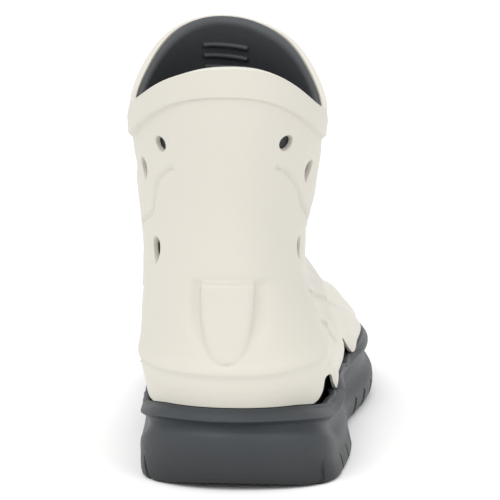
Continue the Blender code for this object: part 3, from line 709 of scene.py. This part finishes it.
# How far the cutter of a hole reaches outward, and how much wider it is there
FLARE = ((-1.0, 0.0), (-0.30, 0.0), (-0.20, 0.012), (-0.10, 0.05), (-0.03, 0.11), (0.03, 0.20), (1.0, 1.10))


def hole_cutter(pointed, count=28):
    """A drop with its point down, flared at the mouth, of width and height one."""
    turns = np.arange(count) * 2.0 * math.pi / count
    across = 0.5 * (1.0 + 0.12 * pointed) * np.sin(turns) * np.abs(np.sin(0.5 * turns)) ** pointed
    flat = np.stack([across, -0.5 * np.cos(turns)], -1)
    rings = [np.concatenate([flat * (1.0 + grow), np.full((count, 1), reach)], -1) for reach, grow in FLARE]
    last = (len(rings) - 1) * count
    faces = ring_faces(len(rings), count) + [tuple(range(count))[::-1], tuple(range(last, last + count))]
    return closed_object("hole_cutter", rings, faces)


def aim_matrix(outward):
    """Axes of a cutter: across, up and outward, as an Euler angle."""
    outward = Vector(outward).normalized()
    across = Vector((0.0, 0.0, 1.0)).cross(outward).normalized()
    up = outward.cross(across)
    return Matrix((across, up, outward)).transposed().to_euler()


# Node trees


def new_tree(name, kind, inputs, outputs):
    """A node group with named sockets, and the sockets of its input node. An input is given as title, kind
    and default, an output as title and kind."""
    tree = bpy.data.node_groups.new(name, kind)
    for title, socket, default in inputs:
        made = tree.interface.new_socket(title, in_out="INPUT", socket_type="NodeSocket" + socket)
        if default is not None:
            made.default_value = default
    for title, socket in outputs:
        tree.interface.new_socket(title, in_out="OUTPUT", socket_type="NodeSocket" + socket)
    return tree, tree.nodes.new("NodeGroupInput").outputs


def set_inputs(tree, node, inputs):
    """Links each input that is given a socket, and sets the others to their value."""
    for key, value in inputs.items():
        if isinstance(value, bpy.types.NodeSocket):
            tree.links.new(value, node.inputs[key])
        else:
            node.inputs[key].default_value = value


def add_node(tree, kind, inputs, **settings):
    """A new node with its settings and inputs."""
    node = tree.nodes.new(kind)
    for key, value in settings.items():
        setattr(node, key, value)
    set_inputs(tree, node, inputs)
    return node.outputs


def attribute_node(tree, name, kind):
    return add_node(tree, "GeometryNodeInputNamedAttribute", {"Name": name}, data_type=kind)["Attribute"]


def end_geometry(tree, geometry, finish):
    """The end of a geometry tree: instances made real, with their material."""
    real = add_node(tree, "GeometryNodeRealizeInstances", {"Geometry": geometry})["Geometry"]
    made = add_node(tree, "GeometryNodeSetMaterial", {"Geometry": real, "Material": finish})["Geometry"]
    add_node(tree, "NodeGroupOutput", {"Geometry": made})
    return tree


def scatter_tree():
    """Geometry nodes: sets one shape on each point, turned and sized by the point's own attributes."""
    sockets = (
        ("Points", "Geometry", None), ("Shape", "Object", None), ("Size", "Float", 1.0),
        ("Finish", "Material", None),
    )
    tree, given = new_tree("Flared holes", "GeometryNodeTree", sockets, (("Geometry", "Geometry"),))
    size = {0: attribute_node(tree, "size", "FLOAT_VECTOR"), "Scale": given["Size"]}
    instances = add_node(tree, "GeometryNodeInstanceOnPoints", {
        "Points": given["Points"],
        "Instance": add_node(tree, "GeometryNodeObjectInfo", {"Object": given["Shape"]})["Geometry"],
        "Rotation": attribute_node(tree, "aim", "FLOAT_VECTOR"),
        "Scale": add_node(tree, "ShaderNodeVectorMath", size, operation="SCALE")[0],
    })
    return end_geometry(tree, instances["Instances"], given["Finish"])


def bar_tree():
    """Geometry nodes: a round bar along each line, thinned to its ends by the line's own attribute."""
    sockets = (
        ("Lines", "Geometry", None), ("Radius", "Float", 0.001), ("Sides", "Int", 12),
        ("Finish", "Material", None),
    )
    tree, given = new_tree("Round bars", "GeometryNodeTree", sockets, (("Geometry", "Geometry"),))
    ring = {"Resolution": given["Sides"], "Radius": given["Radius"]}
    bars = add_node(tree, "GeometryNodeCurveToMesh", {
        "Curve": add_node(tree, "GeometryNodeMeshToCurve", {"Mesh": given["Lines"]})["Curve"],
        "Profile Curve": add_node(tree, "GeometryNodeCurvePrimitiveCircle", ring)["Curve"],
        "Scale": attribute_node(tree, "thin", "FLOAT"),
        "Fill Caps": True,
    })
    return end_geometry(tree, bars["Mesh"], given["Finish"])


def shared_group(name, builder):
    return bpy.data.node_groups.get(name) or builder()


def run_tree(obj, tree, **values):
    """Puts the tree on the object with its inputs set by socket identifier, and applies it."""
    modifier = obj.modifiers.new(tree.name, "NODES")
    modifier.node_group = tree
    for item in tree.interface.items_tree:
        if item.item_type == "SOCKET" and item.in_out == "INPUT" and item.name in values:
            modifier[item.identifier] = values[item.name]
    plain_mesh(obj)
    if not obj.data.polygons:
        raise RuntimeError(f"{obj.name}: the tree made no faces")
    return obj


def hole_cutters(holes, pointed, finish):
    """The holes whose drop is equally pointed, as one cutter: points that carry their turn and size."""
    centres, aims, sizes = [], [], []
    for degrees, level, width, height in holes:
        turn = math.radians(degrees)
        outward = shell_normal(turn, level)
        centres.append(shell_point(turn, level) - outward * 0.0006)
        aims.append(tuple(aim_matrix(outward)))
        sizes.append((width, height, 0.0100))
    cutters = raw_object("hole_cutters", placed(centres))
    for title, rows in (("aim", aims), ("size", sizes)):
        attribute = cutters.data.attributes.new(title, "FLOAT_VECTOR", "POINT")
        attribute.data.foreach_set("vector", np.array(rows, float).ravel())
    shape = hole_cutter(pointed)
    run_tree(cutters, shared_group("Flared holes", scatter_tree), Shape=shape, Size=1.0, Finish=finish)
    discard(shape)
    return cutters


def swept_bars(name, points, lines, thin, radius, sides, finish):
    """Round bars along lines of points, as thin at each point as its share says."""
    bars = raw_object(name, placed(points), edges=lines)
    bars.data.attributes.new("thin", "FLOAT", "POINT").data.foreach_set("value", thin)
    tree = shared_group("Round bars", bar_tree)
    return run_tree(bars, tree, Radius=radius, Sides=sides, Finish=finish)


def line_edges(first, count):
    return [(k, k + 1) for k in range(first, first + count - 1)]


# Finishes

# The part of its range that a noise mostly fills
NOISE_RANGE = {"From Min": 0.30, "From Max": 0.70}


def grain_group():
    """Shared fine grain of a moulded skin: a height, and a tone that wanders slowly over the surface."""
    sockets = (
        ("Place", "Vector", None), ("Grain Size", "Float", 900.0), ("Ripple Size", "Float", 60.0),
        ("Ripple Share", "Float", 1.0), ("Patch Size", "Float", 14.0),
    )
    results = (("Height", "Float"), ("Patch", "Float"), ("Speck", "Float"))
    tree, given = new_tree("Moulded Skin", "ShaderNodeTree", sockets, results)

    def noise(size, detail, rough):
        inputs = {"Vector": given["Place"], "Scale": given[size], "Detail": detail, "Roughness": rough}
        return add_node(tree, "ShaderNodeTexNoise", inputs)["Fac"]

    fine = noise("Grain Size", 3.0, 0.55)
    swell = {0: noise("Ripple Size", 2.0, 0.45), 1: given["Ripple Share"], 2: fine}
    add_node(tree, "NodeGroupOutput", {
        "Height": add_node(tree, "ShaderNodeMath", swell, operation="MULTIPLY_ADD")[0],
        "Patch": noise("Patch Size", 4.0, 0.55),
        "Speck": fine,
    })
    return tree


def height_of(tree, place):
    return add_node(tree, "ShaderNodeSeparateXYZ", {0: place})["Z"]


def dust_group():
    """Shared dust and scuffing: heavier toward the floor, broken up by noise."""
    sockets = (("Place", "Vector", None), ("Clean Height", "Float", 0.05), ("Amount", "Float", 0.2))
    tree, given = new_tree("Deck Dust", "ShaderNodeTree", sockets, (("Mask", "Float"),))
    place = given["Place"]
    fall = {"From Max": given["Clean Height"], "To Min": 1.0, "To Max": 0.0}
    low = add_node(tree, "ShaderNodeMapRange", {"Value": height_of(tree, place), **fall})[0]
    noise = add_node(tree, "ShaderNodeTexNoise", {"Vector": place, "Scale": 55.0, "Detail": 6.0})["Fac"]
    broken = add_node(tree, "ShaderNodeMath", {0: low, 1: noise}, operation="MULTIPLY")[0]
    amount = {0: broken, 1: given["Amount"]}
    add_node(tree, "NodeGroupOutput", {
        "Mask": add_node(tree, "ShaderNodeMath", amount, operation="MULTIPLY", use_clamp=True)[0],
    })
    return tree


def add_group(tree, group, inputs):
    return add_node(tree, "ShaderNodeGroup", inputs, node_tree=group)


def mixed(tree, first, second, factor):
    """A colour between two, each a socket or a plain colour."""
    colours = [c if isinstance(c, bpy.types.NodeSocket) else (*c, 1.0) for c in (first, second)]
    inputs = {"A": colours[0], "B": colours[1], "Factor": factor}
    return add_node(tree, "ShaderNodeMix", inputs, data_type="RGBA")["Result"]


def new_material(name):
    """A new material, its node tree and its shader."""
    material = bpy.data.materials.new(name)
    material.use_nodes = True
    return material, material.node_tree, material.node_tree.nodes["Principled BSDF"]


def finish_material(
    name, colour, other, dust, rough, bump, sizes, dust_amount, clean_height,
    gloss_level=0.5, sheen=0.0, low=None,
):
    """A moulded finish: two close tones in patches, dust near the floor, and a fine bumped grain. Low holds
    painted shading by height: the share of the colour that is left below, a painted shade where it is under one
    and a painted light where it is over one, and the heights from and to which the rest comes in."""
    known = bpy.data.materials.get(name)
    if known:
        return known
    material, tree, shader = new_material(name)
    place = add_node(tree, "ShaderNodeTexCoord", {})["Object"]
    grain = dict(zip(("Grain Size", "Ripple Size", "Ripple Share", "Patch Size"), sizes))
    skin_tree, dust_tree = shared_group("Moulded Skin", grain_group), shared_group("Deck Dust", dust_group)
    skin = add_group(tree, skin_tree, {"Place": place, **grain})
    dirt = add_group(tree, dust_tree, {"Place": place, "Clean Height": clean_height, "Amount": dust_amount})
    spread = add_node(tree, "ShaderNodeMapRange", {"Value": skin["Patch"], **NOISE_RANGE})[0]
    base = mixed(tree, mixed(tree, colour, other, spread), dust, dirt["Mask"])
    # Painted light and shade by height: below a height the colour is scaled by a share, and above it blends
    # back to itself
    if low:
        share, start, end = low
        painted_shading_ramp = {"Value": height_of(tree, place), "From Min": start, "From Max": end}
        base = mixed(tree, [share * c for c in colour], base, add_node(tree, "ShaderNodeMapRange", painted_shading_ramp)[0])
    gloss = {"Value": skin["Speck"], **NOISE_RANGE, "To Min": rough[0], "To Max": rough[1]}
    relief = {"Height": skin["Height"], "Strength": 1.0, "Distance": bump}
    set_inputs(tree, shader, {
        "Base Color": base,
        "Roughness": add_node(tree, "ShaderNodeMapRange", gloss)[0],
        "Normal": add_node(tree, "ShaderNodeBump", relief)["Normal"],
        "Specular IOR Level": gloss_level,
        "Sheen Weight": sheen,
    })
    return material


def shell_finish():
    look = bpy.context.scene.boot_finish
    return finish_material(
        "Upper foam", look.shell, look.shell_shade, (0.52, 0.49, 0.43), (0.42, 0.58), 0.00006,
        # low: painted light, the shell 9 per cent lighter below 4 to 6 cm, standing in for light thrown up from
        # the floor
        (1500.0, 45.0, 1.2, 11.0), 0.04, 0.050, low=(1.09, 0.040, 0.060),
    )


def bootie_finish():
    look = bpy.context.scene.boot_finish
    return finish_material(
        "Bootie foam", look.bootie, look.bootie_shade, (0.20, 0.19, 0.17), (0.50, 0.66), 0.00008,
        # low: painted shade, the bootie darkened to a tenth of its colour below 13.5 to 19 cm, standing in for
        # the shade deep inside the boot and behind the drain openings
        (1100.0, 60.0, 0.8, 20.0), 0.0, 0.03, low=(0.10, 0.135, 0.192),
    )


def sole_finish():
    look = bpy.context.scene.boot_finish
    return finish_material(
        "Sole rubber", look.sole, look.sole_shade, (0.30, 0.28, 0.25), (0.42, 0.56), 0.00007,
        # low: painted shade, the sole darkened to a fifth of its colour toward the floor, below 2.3 cm
        (1300.0, 70.0, 0.8, 24.0), 0.05, 0.030, gloss_level=0.38, low=(0.20, -0.004, 0.023),
    )


def footbed_finish():
    look = bpy.context.scene.boot_finish
    return finish_material(
        "Footbed foam", look.footbed, look.bootie_shade, (0.20, 0.19, 0.17), (0.70, 0.88), 0.00014,
        (700.0, 90.0, 0.6, 30.0), 0.05, 0.03, sheen=0.2,
    )


# Sizes and colours


class BOOT_PG_shell(bpy.types.PropertyGroup):
    """Sizes of the outer shell."""

    wall: FloatProperty(name="Wall", description="Thickness of the shell", default=0.003, unit="LENGTH")
    rim_wall: FloatProperty(
        name="Rim wall", description="Thickness behind the collar band", default=0.0001, unit="LENGTH"
    )
    collar_step: FloatProperty(
        name="Collar step", description="How proud the collar band is", default=0.0021, unit="LENGTH"
    )
    tab_width: FloatProperty(
        name="Tab width", description="Width of the kick-off tab", default=0.0226, unit="LENGTH"
    )
    tab_top: FloatProperty(
        name="Tab top", description="Height of the flat top of the tab", default=0.0932, unit="LENGTH"
    )
    tab_bottom: FloatProperty(
        name="Tab bottom", description="Height of its rounded foot", default=0.0584, unit="LENGTH"
    )
    tab_depth: FloatProperty(
        name="Tab depth", description="How proud the tab is at its top", default=0.0032, unit="LENGTH"
    )
    scoop: FloatProperty(
        name="Scoop", description="Depth of the dish beside each hole", default=0.0009, unit="LENGTH"
    )
    wave: FloatProperty(
        name="Wave", description="Height of the moulded waves", default=0.00125, unit="LENGTH"
    )
    around: IntProperty(name="Columns", description="Points round the shell", default=460)
    rows: IntProperty(name="Rows", description="Rows up to the collar band", default=136)


class BOOT_PG_lining(bpy.types.PropertyGroup):
    """Sizes of the inner bootie."""

    gap: FloatProperty(name="Gap", description="Clearance to the shell", default=0.0003, unit="LENGTH")
    wall: FloatProperty(name="Wall", description="Thickness of the bootie", default=0.0026, unit="LENGTH")
    rib_radius: FloatProperty(
        name="Rib radius", description="Half thickness of a grip rib", default=0.0013, unit="LENGTH"
    )
    rib_width: FloatProperty(
        name="Rib width", description="Length of a grip rib", default=0.0262, unit="LENGTH"
    )
    rib_pitch: FloatProperty(
        name="Rib pitch", description="Distance between ribs", default=0.0052, unit="LENGTH"
    )
    rib_level: FloatProperty(
        name="Rib level", description="Level of the top rib, as a share of the way up", default=0.939
    )
    rib_count: IntProperty(name="Ribs", description="Number of grip ribs", default=4)
    around: IntProperty(name="Columns", description="Points round the bootie", default=300)


class BOOT_PG_sole(bpy.types.PropertyGroup):
    """Sizes of the outsole."""

    channel_width: FloatProperty(
        name="Channel width", description="Width of a tread channel", default=0.004, unit="LENGTH"
    )
    channel_wave: FloatProperty(
        name="Channel swing", description="How far a channel swings", default=0.004, unit="LENGTH"
    )
    channel_lean: FloatProperty(
        name="Channel lean", description="How far a channel leans forward up the side",
        default=0.0045, unit="LENGTH",
    )
    rim_ledge: FloatProperty(
        name="Rim ledge", description="How far the rim reaches past the shell", default=0.0012, unit="LENGTH"
    )
    around: IntProperty(name="Columns", description="Points round the sole", default=1000)


class BOOT_PG_finish(bpy.types.PropertyGroup):
    """Colours of the materials."""

    shell: FloatVectorProperty(
        name="Shell", description="Shell colour", subtype="COLOR", default=(0.56, 0.536, 0.476)
    )
    shell_shade: FloatVectorProperty(
        name="Shell shade", description="Second tone of the shell",
        subtype="COLOR", default=(0.54, 0.517, 0.458),
    )
    bootie: FloatVectorProperty(
        name="Bootie", description="Bootie colour", subtype="COLOR", default=(0.044, 0.0485, 0.053)
    )
    bootie_shade: FloatVectorProperty(
        name="Bootie shade", description="Second tone of the bootie",
        subtype="COLOR", default=(0.037, 0.0415, 0.046),
    )
    sole: FloatVectorProperty(
        name="Sole", description="Sole colour", subtype="COLOR", default=(0.0345, 0.0395, 0.0445)
    )
    sole_shade: FloatVectorProperty(
        name="Sole shade", description="Second tone of the sole",
        subtype="COLOR", default=(0.0295, 0.0345, 0.0395),
    )
    footbed: FloatVectorProperty(
        name="Footbed", description="Footbed colour", subtype="COLOR", default=(0.05, 0.053, 0.057)
    )


class BOOT_PG_stage(bpy.types.PropertyGroup):
    """Camera, floor and light."""

    azimuth: FloatProperty(
        name="Azimuth", description="Turn of the camera from straight behind", default=math.radians(5.0),
        subtype="ANGLE",
    )
    elevation: FloatProperty(
        name="Elevation", description="Height angle of the camera", default=math.radians(10.5),
        subtype="ANGLE",
    )
    distance: FloatProperty(
        name="Distance", description="Camera to the middle of the boot", default=2.2, unit="LENGTH"
    )
    lens: FloatProperty(name="Lens", description="Focal length in millimetres", default=328.12)
    dome: FloatProperty(name="Dome", description="Strength of the white surroundings", default=1.0)
    key: FloatProperty(name="Key", description="Power of the large soft light", default=22.0)


# Operators


class BOOT_OT_shell(bpy.types.Operator):
    """Moulded outer shell with its collar band, tab, holes, drain openings and waves"""

    bl_idname = "boot.shell"
    bl_label = "Outer shell"

    def execute(self, context):
        sizes = context.scene.boot_shell
        turn = turns_round(sizes.around, 2.4)
        levels = shell_levels(turn, sizes.rows)
        turns = np.broadcast_to(turn, levels.shape)
        point = shell_point(turns, levels)
        proud = band_offset(levels, turns, sizes.collar_step)
        proud = proud + heel_ridge(point, turns) + heel_tab(point, sizes) + panel_lines(point, turns)
        proud = proud + hole_scoops(point, sizes.scoop) + wave_relief(point, turns, sizes.wave)
        proud = proud + tooth_flare(point)
        outer = point + shell_normal(turns, levels) * proud[..., None]
        outer[..., 2] -= rim_sag(turns, levels)

        def wall(level, turns):
            return wall_depth(level, turns, sizes.wall, sizes.rim_wall)

        full = np.ones_like(turn)
        deep, out = wall(full, turn), band_offset(full, turn, sizes.collar_step)
        top, above = shell_point(turn, 1.0), shell_normal(turn, 1.0)
        top[..., 2] -= rim_sag(turn, 1.0)
        rim = [
            top + above * (out - share * (out + deep))[:, None] + np.array([0.0, 0.0, rise])
            for share, rise in COLLAR_RIM
        ]
        near_rim = [0.992, 0.970, 0.95, 0.935, 0.92, 0.905, 0.89, 0.86]
        inside = inner_face(turn, np.concatenate([near_rim, np.linspace(0.78, 0.0, 9)]), wall)
        flare = outer[0] - point[0]
        inside[-1] = skirt_ring(turn, shell_edge, edge_wall(turn, sizes.wall)) + 0.9 * flare
        outer[0] = skirt_ring(turn, shell_edge, 0.0) + flare
        rings = np.concatenate([outer, rim, inside])
        shell = closed_object("moulded_upper", placed(rings), ring_faces(len(rings), len(turn), closed=True))
        finish = shell_finish()
        for pointed, holes in HOLES:
            cut_away(shell, hole_cutters(holes, pointed, finish))
        shade(shell, 42.0)
        dressed(shell, "shell_foam", finish, "upper")
        return {"FINISHED"}


class BOOT_OT_lining(bpy.types.Operator):
    """Inner bootie with its bevelled lip"""

    bl_idname = "boot.lining"
    bl_label = "Inner bootie"

    def execute(self, context):
        sizes, shell = context.scene.boot_lining, context.scene.boot_shell
        turn = even_turns(sizes.around)
        outside = shell.wall + sizes.gap
        inside = outside + sizes.wall

        def outer_depth(level, turns):
            return wall_depth(level, turns, shell.wall, shell.rim_wall) + sizes.gap

        def inner_depth(level, turns):
            return inside + 0.0004 * np.sin(level * 24.0) * (level < 0.9)

        rising = np.concatenate([np.linspace(0.0, 0.84, 22), np.linspace(0.86, 0.984, 16)])
        outer = inner_face(turn, rising, outer_depth)
        outer[0] = skirt_ring(turn, shell_edge, outside)
        rim = []
        skin = outer_depth(np.ones_like(turn), turn)
        lift = 0.0035 * ease((np.abs(turn) - 2.45) / 0.45)
        for level, share in LIP:
            depth = skin + share * (inside - skin)
            over = level + lift * clamp01((level - 0.97) / 0.02)
            ring = shell_point(turn, over) - shell_normal(turn, level) * depth[:, None]
            ring[:, 2] -= rim_sag(turn, level)
            rim.append(ring)
        falling = np.concatenate([np.linspace(0.955, 0.70, 26), np.linspace(0.685, 0.0, 30)])
        inner = inner_face(turn, falling, inner_depth)
        inner[-1] = skirt_ring(turn, shell_edge, inside)
        feet = [[skirt_ring(turn, cup_floor, depth, 0.0006)] for depth in (outside, inside)]
        rings = np.concatenate([feet[0], outer, rim, inner, feet[1]])
        lining = closed_object("inner_bootie", placed(rings), ring_faces(len(rings), len(turn), closed=True))
        shade(lining, 50.0)
        dressed(lining, "bootie_foam", bootie_finish(), "lining")
        return {"FINISHED"}


class BOOT_OT_ribs(bpy.types.Operator):
    """Raised grip ribs on the front inner face of the bootie"""

    bl_idname = "boot.ribs"
    bl_label = "Grip ribs"

    def execute(self, context):
        sizes, shell = context.scene.boot_lining, context.scene.boot_shell
        depth = shell.wall + sizes.gap + sizes.wall + 0.0003
        tips = [-1.0, -0.992, -0.975, 0.975, 0.992, 1.0]
        shares = np.sort(np.concatenate([np.linspace(-0.94, 0.94, 21), tips]))
        turn = math.pi + shares * 0.5 * sizes.rib_width / 0.0425
        past = np.maximum(0.0, np.abs(shares) - 0.94) / 0.06
        thin = np.sqrt(np.maximum(0.03, 1.0 - past**2))
        points, lines = [], []
        for rib in range(sizes.rib_count):
            level = sizes.rib_level - 0.92 * rib * sizes.rib_pitch / HEIGHT
            points.append(shell_point(turn, level + 0.0035 * shares) - shell_normal(turn, level) * depth)
            lines += line_edges(rib * len(shares), len(shares))
        finish, thin = bootie_finish(), np.tile(thin, sizes.rib_count)
        ribs = swept_bars("grip_ribs", points, lines, thin, sizes.rib_radius, 14, finish)
        shade(ribs, 60.0)
        dressed(ribs, "bootie_foam", finish)
        return {"FINISHED"}


def sole_ring(angle, row):
    """One line round the side of the sole, up to its parting line."""
    heel_inset, heel_z, back_rise, ball_inset, ball_z = row
    y = outline_point(angle)[..., 1]
    blend = ease((y / LENGTH - HEEL_BLOCK_END) / (BALL_BLOCK_START - HEEL_BLOCK_END))
    inset = heel_inset + (ball_inset - heel_inset) * blend
    flat = outline_point(angle) + outline_inward(angle) * inset[..., None]
    height = heel_z + (ball_z - heel_z) * blend + back_rise * (1.0 - ease(y / 0.048))
    flat[..., 0] += 0.0030 * (1.0 - blend) * (1.0 - ease((height - 0.001) / 0.010)) * ease(flat[..., 0] / 0.032)
    z = height + floor_lift(flat[..., 1]) * (1.0 - clamp01(1.25 * height / SIDE_HEIGHT))
    return np.concatenate([flat, z[..., None]], -1)


def bevel_ring(angle, parting, top, inset, share):
    """A line on the bevel between the parting line and the rim of the sole."""
    ring = parting + (top - parting) * share
    flat = outline_point(angle) + outline_inward(angle) * inset
    ring[:, :2] = 0.35 * flat + 0.65 * ring[:, :2]
    return ring


def edge_turn(y, side):
    """Angle from 0 to 2 pi at which the outline is at y on one side."""
    return side * math.acos(1.0 - 2.0 * clamp01(y / LENGTH)) % (2.0 * math.pi)


def channel_lines(sizes):
    """Lines of the zigzag channels across the tread, each running up the side of the sole at both ends."""
    points, lines, thin = [], [], []
    across, shifts = np.array(CHANNEL_ZIGZAG).T
    corners = np.arange(len(across))
    fine = np.linspace(0.0, len(across) - 1.0, 41)
    for share, swing in TREAD_CHANNELS:
        knots = share * LENGTH + shifts * swing * sizes.channel_wave
        xs = np.interp(fine, corners, across * BALL_WIDTH)
        ys = blurred(lambda at: np.interp(at, corners, knots), fine, 0.18, 7)
        first, last = [outline_point(edge_turn(y, side))[0] for y, side in ((ys[0], -1.0), (ys[-1], 1.0))]
        keep = (xs > first + 0.004) & (xs < last - 0.004)
        flat = [(x, y, floor_lift(y) + 0.0004) for x, y in zip(xs[keep], ys[keep])]
        ends = []
        for side, y in ((-1.0, flat[0][1]), (1.0, flat[-1][1])):
            rise = []
            for k, row in enumerate(SOLE_PROFILE[1:6]):
                ahead = y + sizes.channel_lean * (k / 4.0) ** 1.3
                edge = sole_ring(np.array([edge_turn(ahead, side)]), row)[0]
                rise.append((edge[0] + side * 0.0012 * (k == 4), edge[1], edge[2]))
            ends.append(rise)
        widen = [0.62 if share < 0.35 else 1.25] * 5
        made = ends[0][::-1] + flat + ends[1]
        lines += line_edges(len(points), len(made))
        points += made
        thin += widen + [1.0] * len(flat) + widen
    return points, lines, thin


class BOOT_OT_sole(bpy.types.Operator):
    """Thick moulded sole with its stepped side, scalloped rim, lugs and tread channels"""

    bl_idname = "boot.sole"
    bl_label = "Sole"

    def execute(self, context):
        sizes, shell = context.scene.boot_sole, context.scene.boot_shell
        turn = turns_round(sizes.around, 1.5)
        turn = np.roll(turn, -(len(turn) // 2))
        angle, spread = turn % (2.0 * math.pi), rim_spread(turn)
        side = [sole_ring(angle, row) for row in SOLE_PROFILE]
        rim = [
            skirt_ring(turn, rim_edge, ledge * sizes.rim_ledge + wall * shell.wall - share * spread, lift)
            for ledge, wall, share, lift in RIM_TOP
        ]
        bevel = [bevel_ring(angle, side[-1], rim[0], inset, share) for inset, share in RIM_PROFILE]
        rings = side + bevel + rim + [skirt_ring(turn, cup_floor, shell.wall)]
        sole = closed_object("moulded_sole", placed(rings), capped_faces(len(rings), len(turn)))
        finish = sole_finish()
        radius = 0.5 * sizes.channel_width
        cut_away(sole, swept_bars("tread_channels", *channel_lines(sizes), radius, 12, finish))
        shade(sole, 38.0)
        dressed(sole, "sole_rubber", finish, "sole")
        return {"FINISHED"}


class BOOT_OT_footbed(bpy.types.Operator):
    """Contoured footbed inside the bootie"""

    bl_idname = "boot.footbed"
    bl_label = "Footbed"

    def execute(self, context):
        shell, lining = context.scene.boot_shell, context.scene.boot_lining
        turn = even_turns(240)
        depth = shell.wall + lining.gap + lining.wall + 0.0006
        rings = [skirt_ring(turn, cup_floor, depth, 0.0004), skirt_ring(turn, cup_floor, depth, 0.0040)]
        base = rings[-1]
        spine = base.copy()
        spine[:, 0] = MIDDLE_X
        for share, rise in FOOTBED_PROFILE:
            arch = 0.0022 * hump(base[:, 1] - 0.125, 0.045) * (base[:, 0] < MIDDLE_X) * hump(share - 0.15, 0.3)
            ring = base + (spine - base) * share
            ring[:, 2] += rise + arch
            rings.append(ring)
        footbed = closed_object("footbed", placed(rings), capped_faces(len(rings), len(turn)))
        shade(footbed, 50.0)
        dressed(footbed, "footbed_foam", footbed_finish(), "insole")
        return {"FINISHED"}


def floor_material():
    """An almost even white."""
    material, tree, shader = new_material("Studio floor")
    white, shade_share = (0.93, 0.93, 0.93), 0.985
    place = add_node(tree, "ShaderNodeTexCoord", {})["Object"]
    noise = add_node(tree, "ShaderNodeTexNoise", {"Vector": place, "Scale": 3.0})["Fac"]
    tone = mixed(tree, white, [c * shade_share for c in white], noise)
    set_inputs(tree, shader, {"Base Color": tone, "Roughness": 0.8})
    return material


# Lamps: place, size, and share of the key's power
LAMPS = (
    ("key", (-0.9, -1.5, 2.0), 1.6, 1.0), ("fill", (1.3, -1.3, 1.2), 1.4, 0.35),
    ("top", (0.0, 0.1, 2.4), 1.8, 0.5),
)
# The photo's side and the point that the camera's axis meets, in picture points, and the sensor in millimetres
PHOTO_SIDE, AXIS_POINT, SENSOR = 500.0, (256.76, 204.61), 36.0


class BOOT_OT_stage(bpy.types.Operator):
    """Pale floor, white surroundings, soft lights and the camera"""

    bl_idname = "boot.stage"
    bl_label = "Stage"

    def execute(self, context):
        scene, sizes = context.scene, context.scene.boot_stage
        floor = raw_object("floor", [(-9, -9, 0), (9, -9, 0), (9, 9, 0), (-9, 9, 0)], faces=[(0, 1, 2, 3)])
        floor.data.materials.append(floor_material())
        world = bpy.data.worlds.new("White surroundings")
        world.use_nodes = True
        background = world.node_tree.nodes["Background"]
        set_inputs(world.node_tree, background, {"Color": (1.0, 1.0, 1.0, 1.0), "Strength": sizes.dome})
        scene.world = world
        for name, place, size, share in LAMPS:
            data = bpy.data.lights.new(name, "AREA")
            data.energy, data.size = share * sizes.key, size
            lamp = bpy.data.objects.new(name, data)
            lamp.location = place
            toward = Vector((0.0, 0.0, 0.09)) - lamp.location
            lamp.rotation_euler = toward.to_track_quat("-Z", "Y").to_euler()
            scene.collection.objects.link(lamp)
        a, e = sizes.azimuth, sizes.elevation
        back = Vector((math.sin(a) * math.cos(e), -math.cos(a) * math.cos(e), math.sin(e)))
        right = Vector((math.cos(a), math.sin(a), 0.0))
        focal = sizes.lens / SENSOR * PHOTO_SIDE
        over, down = [(0.5 * PHOTO_SIDE - point) / focal for point in AXIS_POINT]
        aim = -back + right * over - back.cross(right) * down
        data = bpy.data.cameras.new("camera")
        data.lens, data.sensor_width = sizes.lens, SENSOR
        data.clip_start, data.clip_end = 0.1, 50.0
        camera = bpy.data.objects.new("camera", data)
        camera.location = Vector((-MIDDLE_X, 0.0, 0.105)) + back * sizes.distance
        camera.rotation_euler = aim.to_track_quat("-Z", "Y").to_euler()
        scene.collection.objects.link(camera)
        scene.camera = camera
        scene.view_settings.view_transform = "Standard"
        return {"FINISHED"}


class BOOT_PT_panel(bpy.types.Panel):
    """Lists the pieces of the boot"""

    bl_label = "Deck Boot"
    bl_idname = "BOOT_PT_panel"
    bl_space_type = "VIEW_3D"
    bl_region_type = "UI"
    bl_category = "Deck Boot"

    def draw(self, context):
        for operator in OPERATORS:
            self.layout.operator(operator.bl_idname)


GROUPS = (
    ("boot_shell", BOOT_PG_shell), ("boot_lining", BOOT_PG_lining), ("boot_sole", BOOT_PG_sole),
    ("boot_finish", BOOT_PG_finish), ("boot_stage", BOOT_PG_stage),
)
OPERATORS = (BOOT_OT_shell, BOOT_OT_lining, BOOT_OT_ribs, BOOT_OT_sole, BOOT_OT_footbed, BOOT_OT_stage)


def register():
    for name, group in GROUPS:
        bpy.utils.register_class(group)
        setattr(bpy.types.Scene, name, PointerProperty(type=group))
    for operator in OPERATORS:
        bpy.utils.register_class(operator)
    bpy.utils.register_class(BOOT_PT_panel)


def unregister():
    bpy.utils.unregister_class(BOOT_PT_panel)
    for operator in OPERATORS:
        bpy.utils.unregister_class(operator)
    for name, group in GROUPS:
        delattr(bpy.types.Scene, name)
        bpy.utils.unregister_class(group)


def main():
    register()
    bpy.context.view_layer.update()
    bpy.ops.boot.shell()
    bpy.ops.boot.lining()
    bpy.ops.boot.ribs()
    bpy.ops.boot.sole()
    bpy.ops.boot.footbed()
    bpy.ops.boot.stage()


if __name__ == "__main__":
    main()
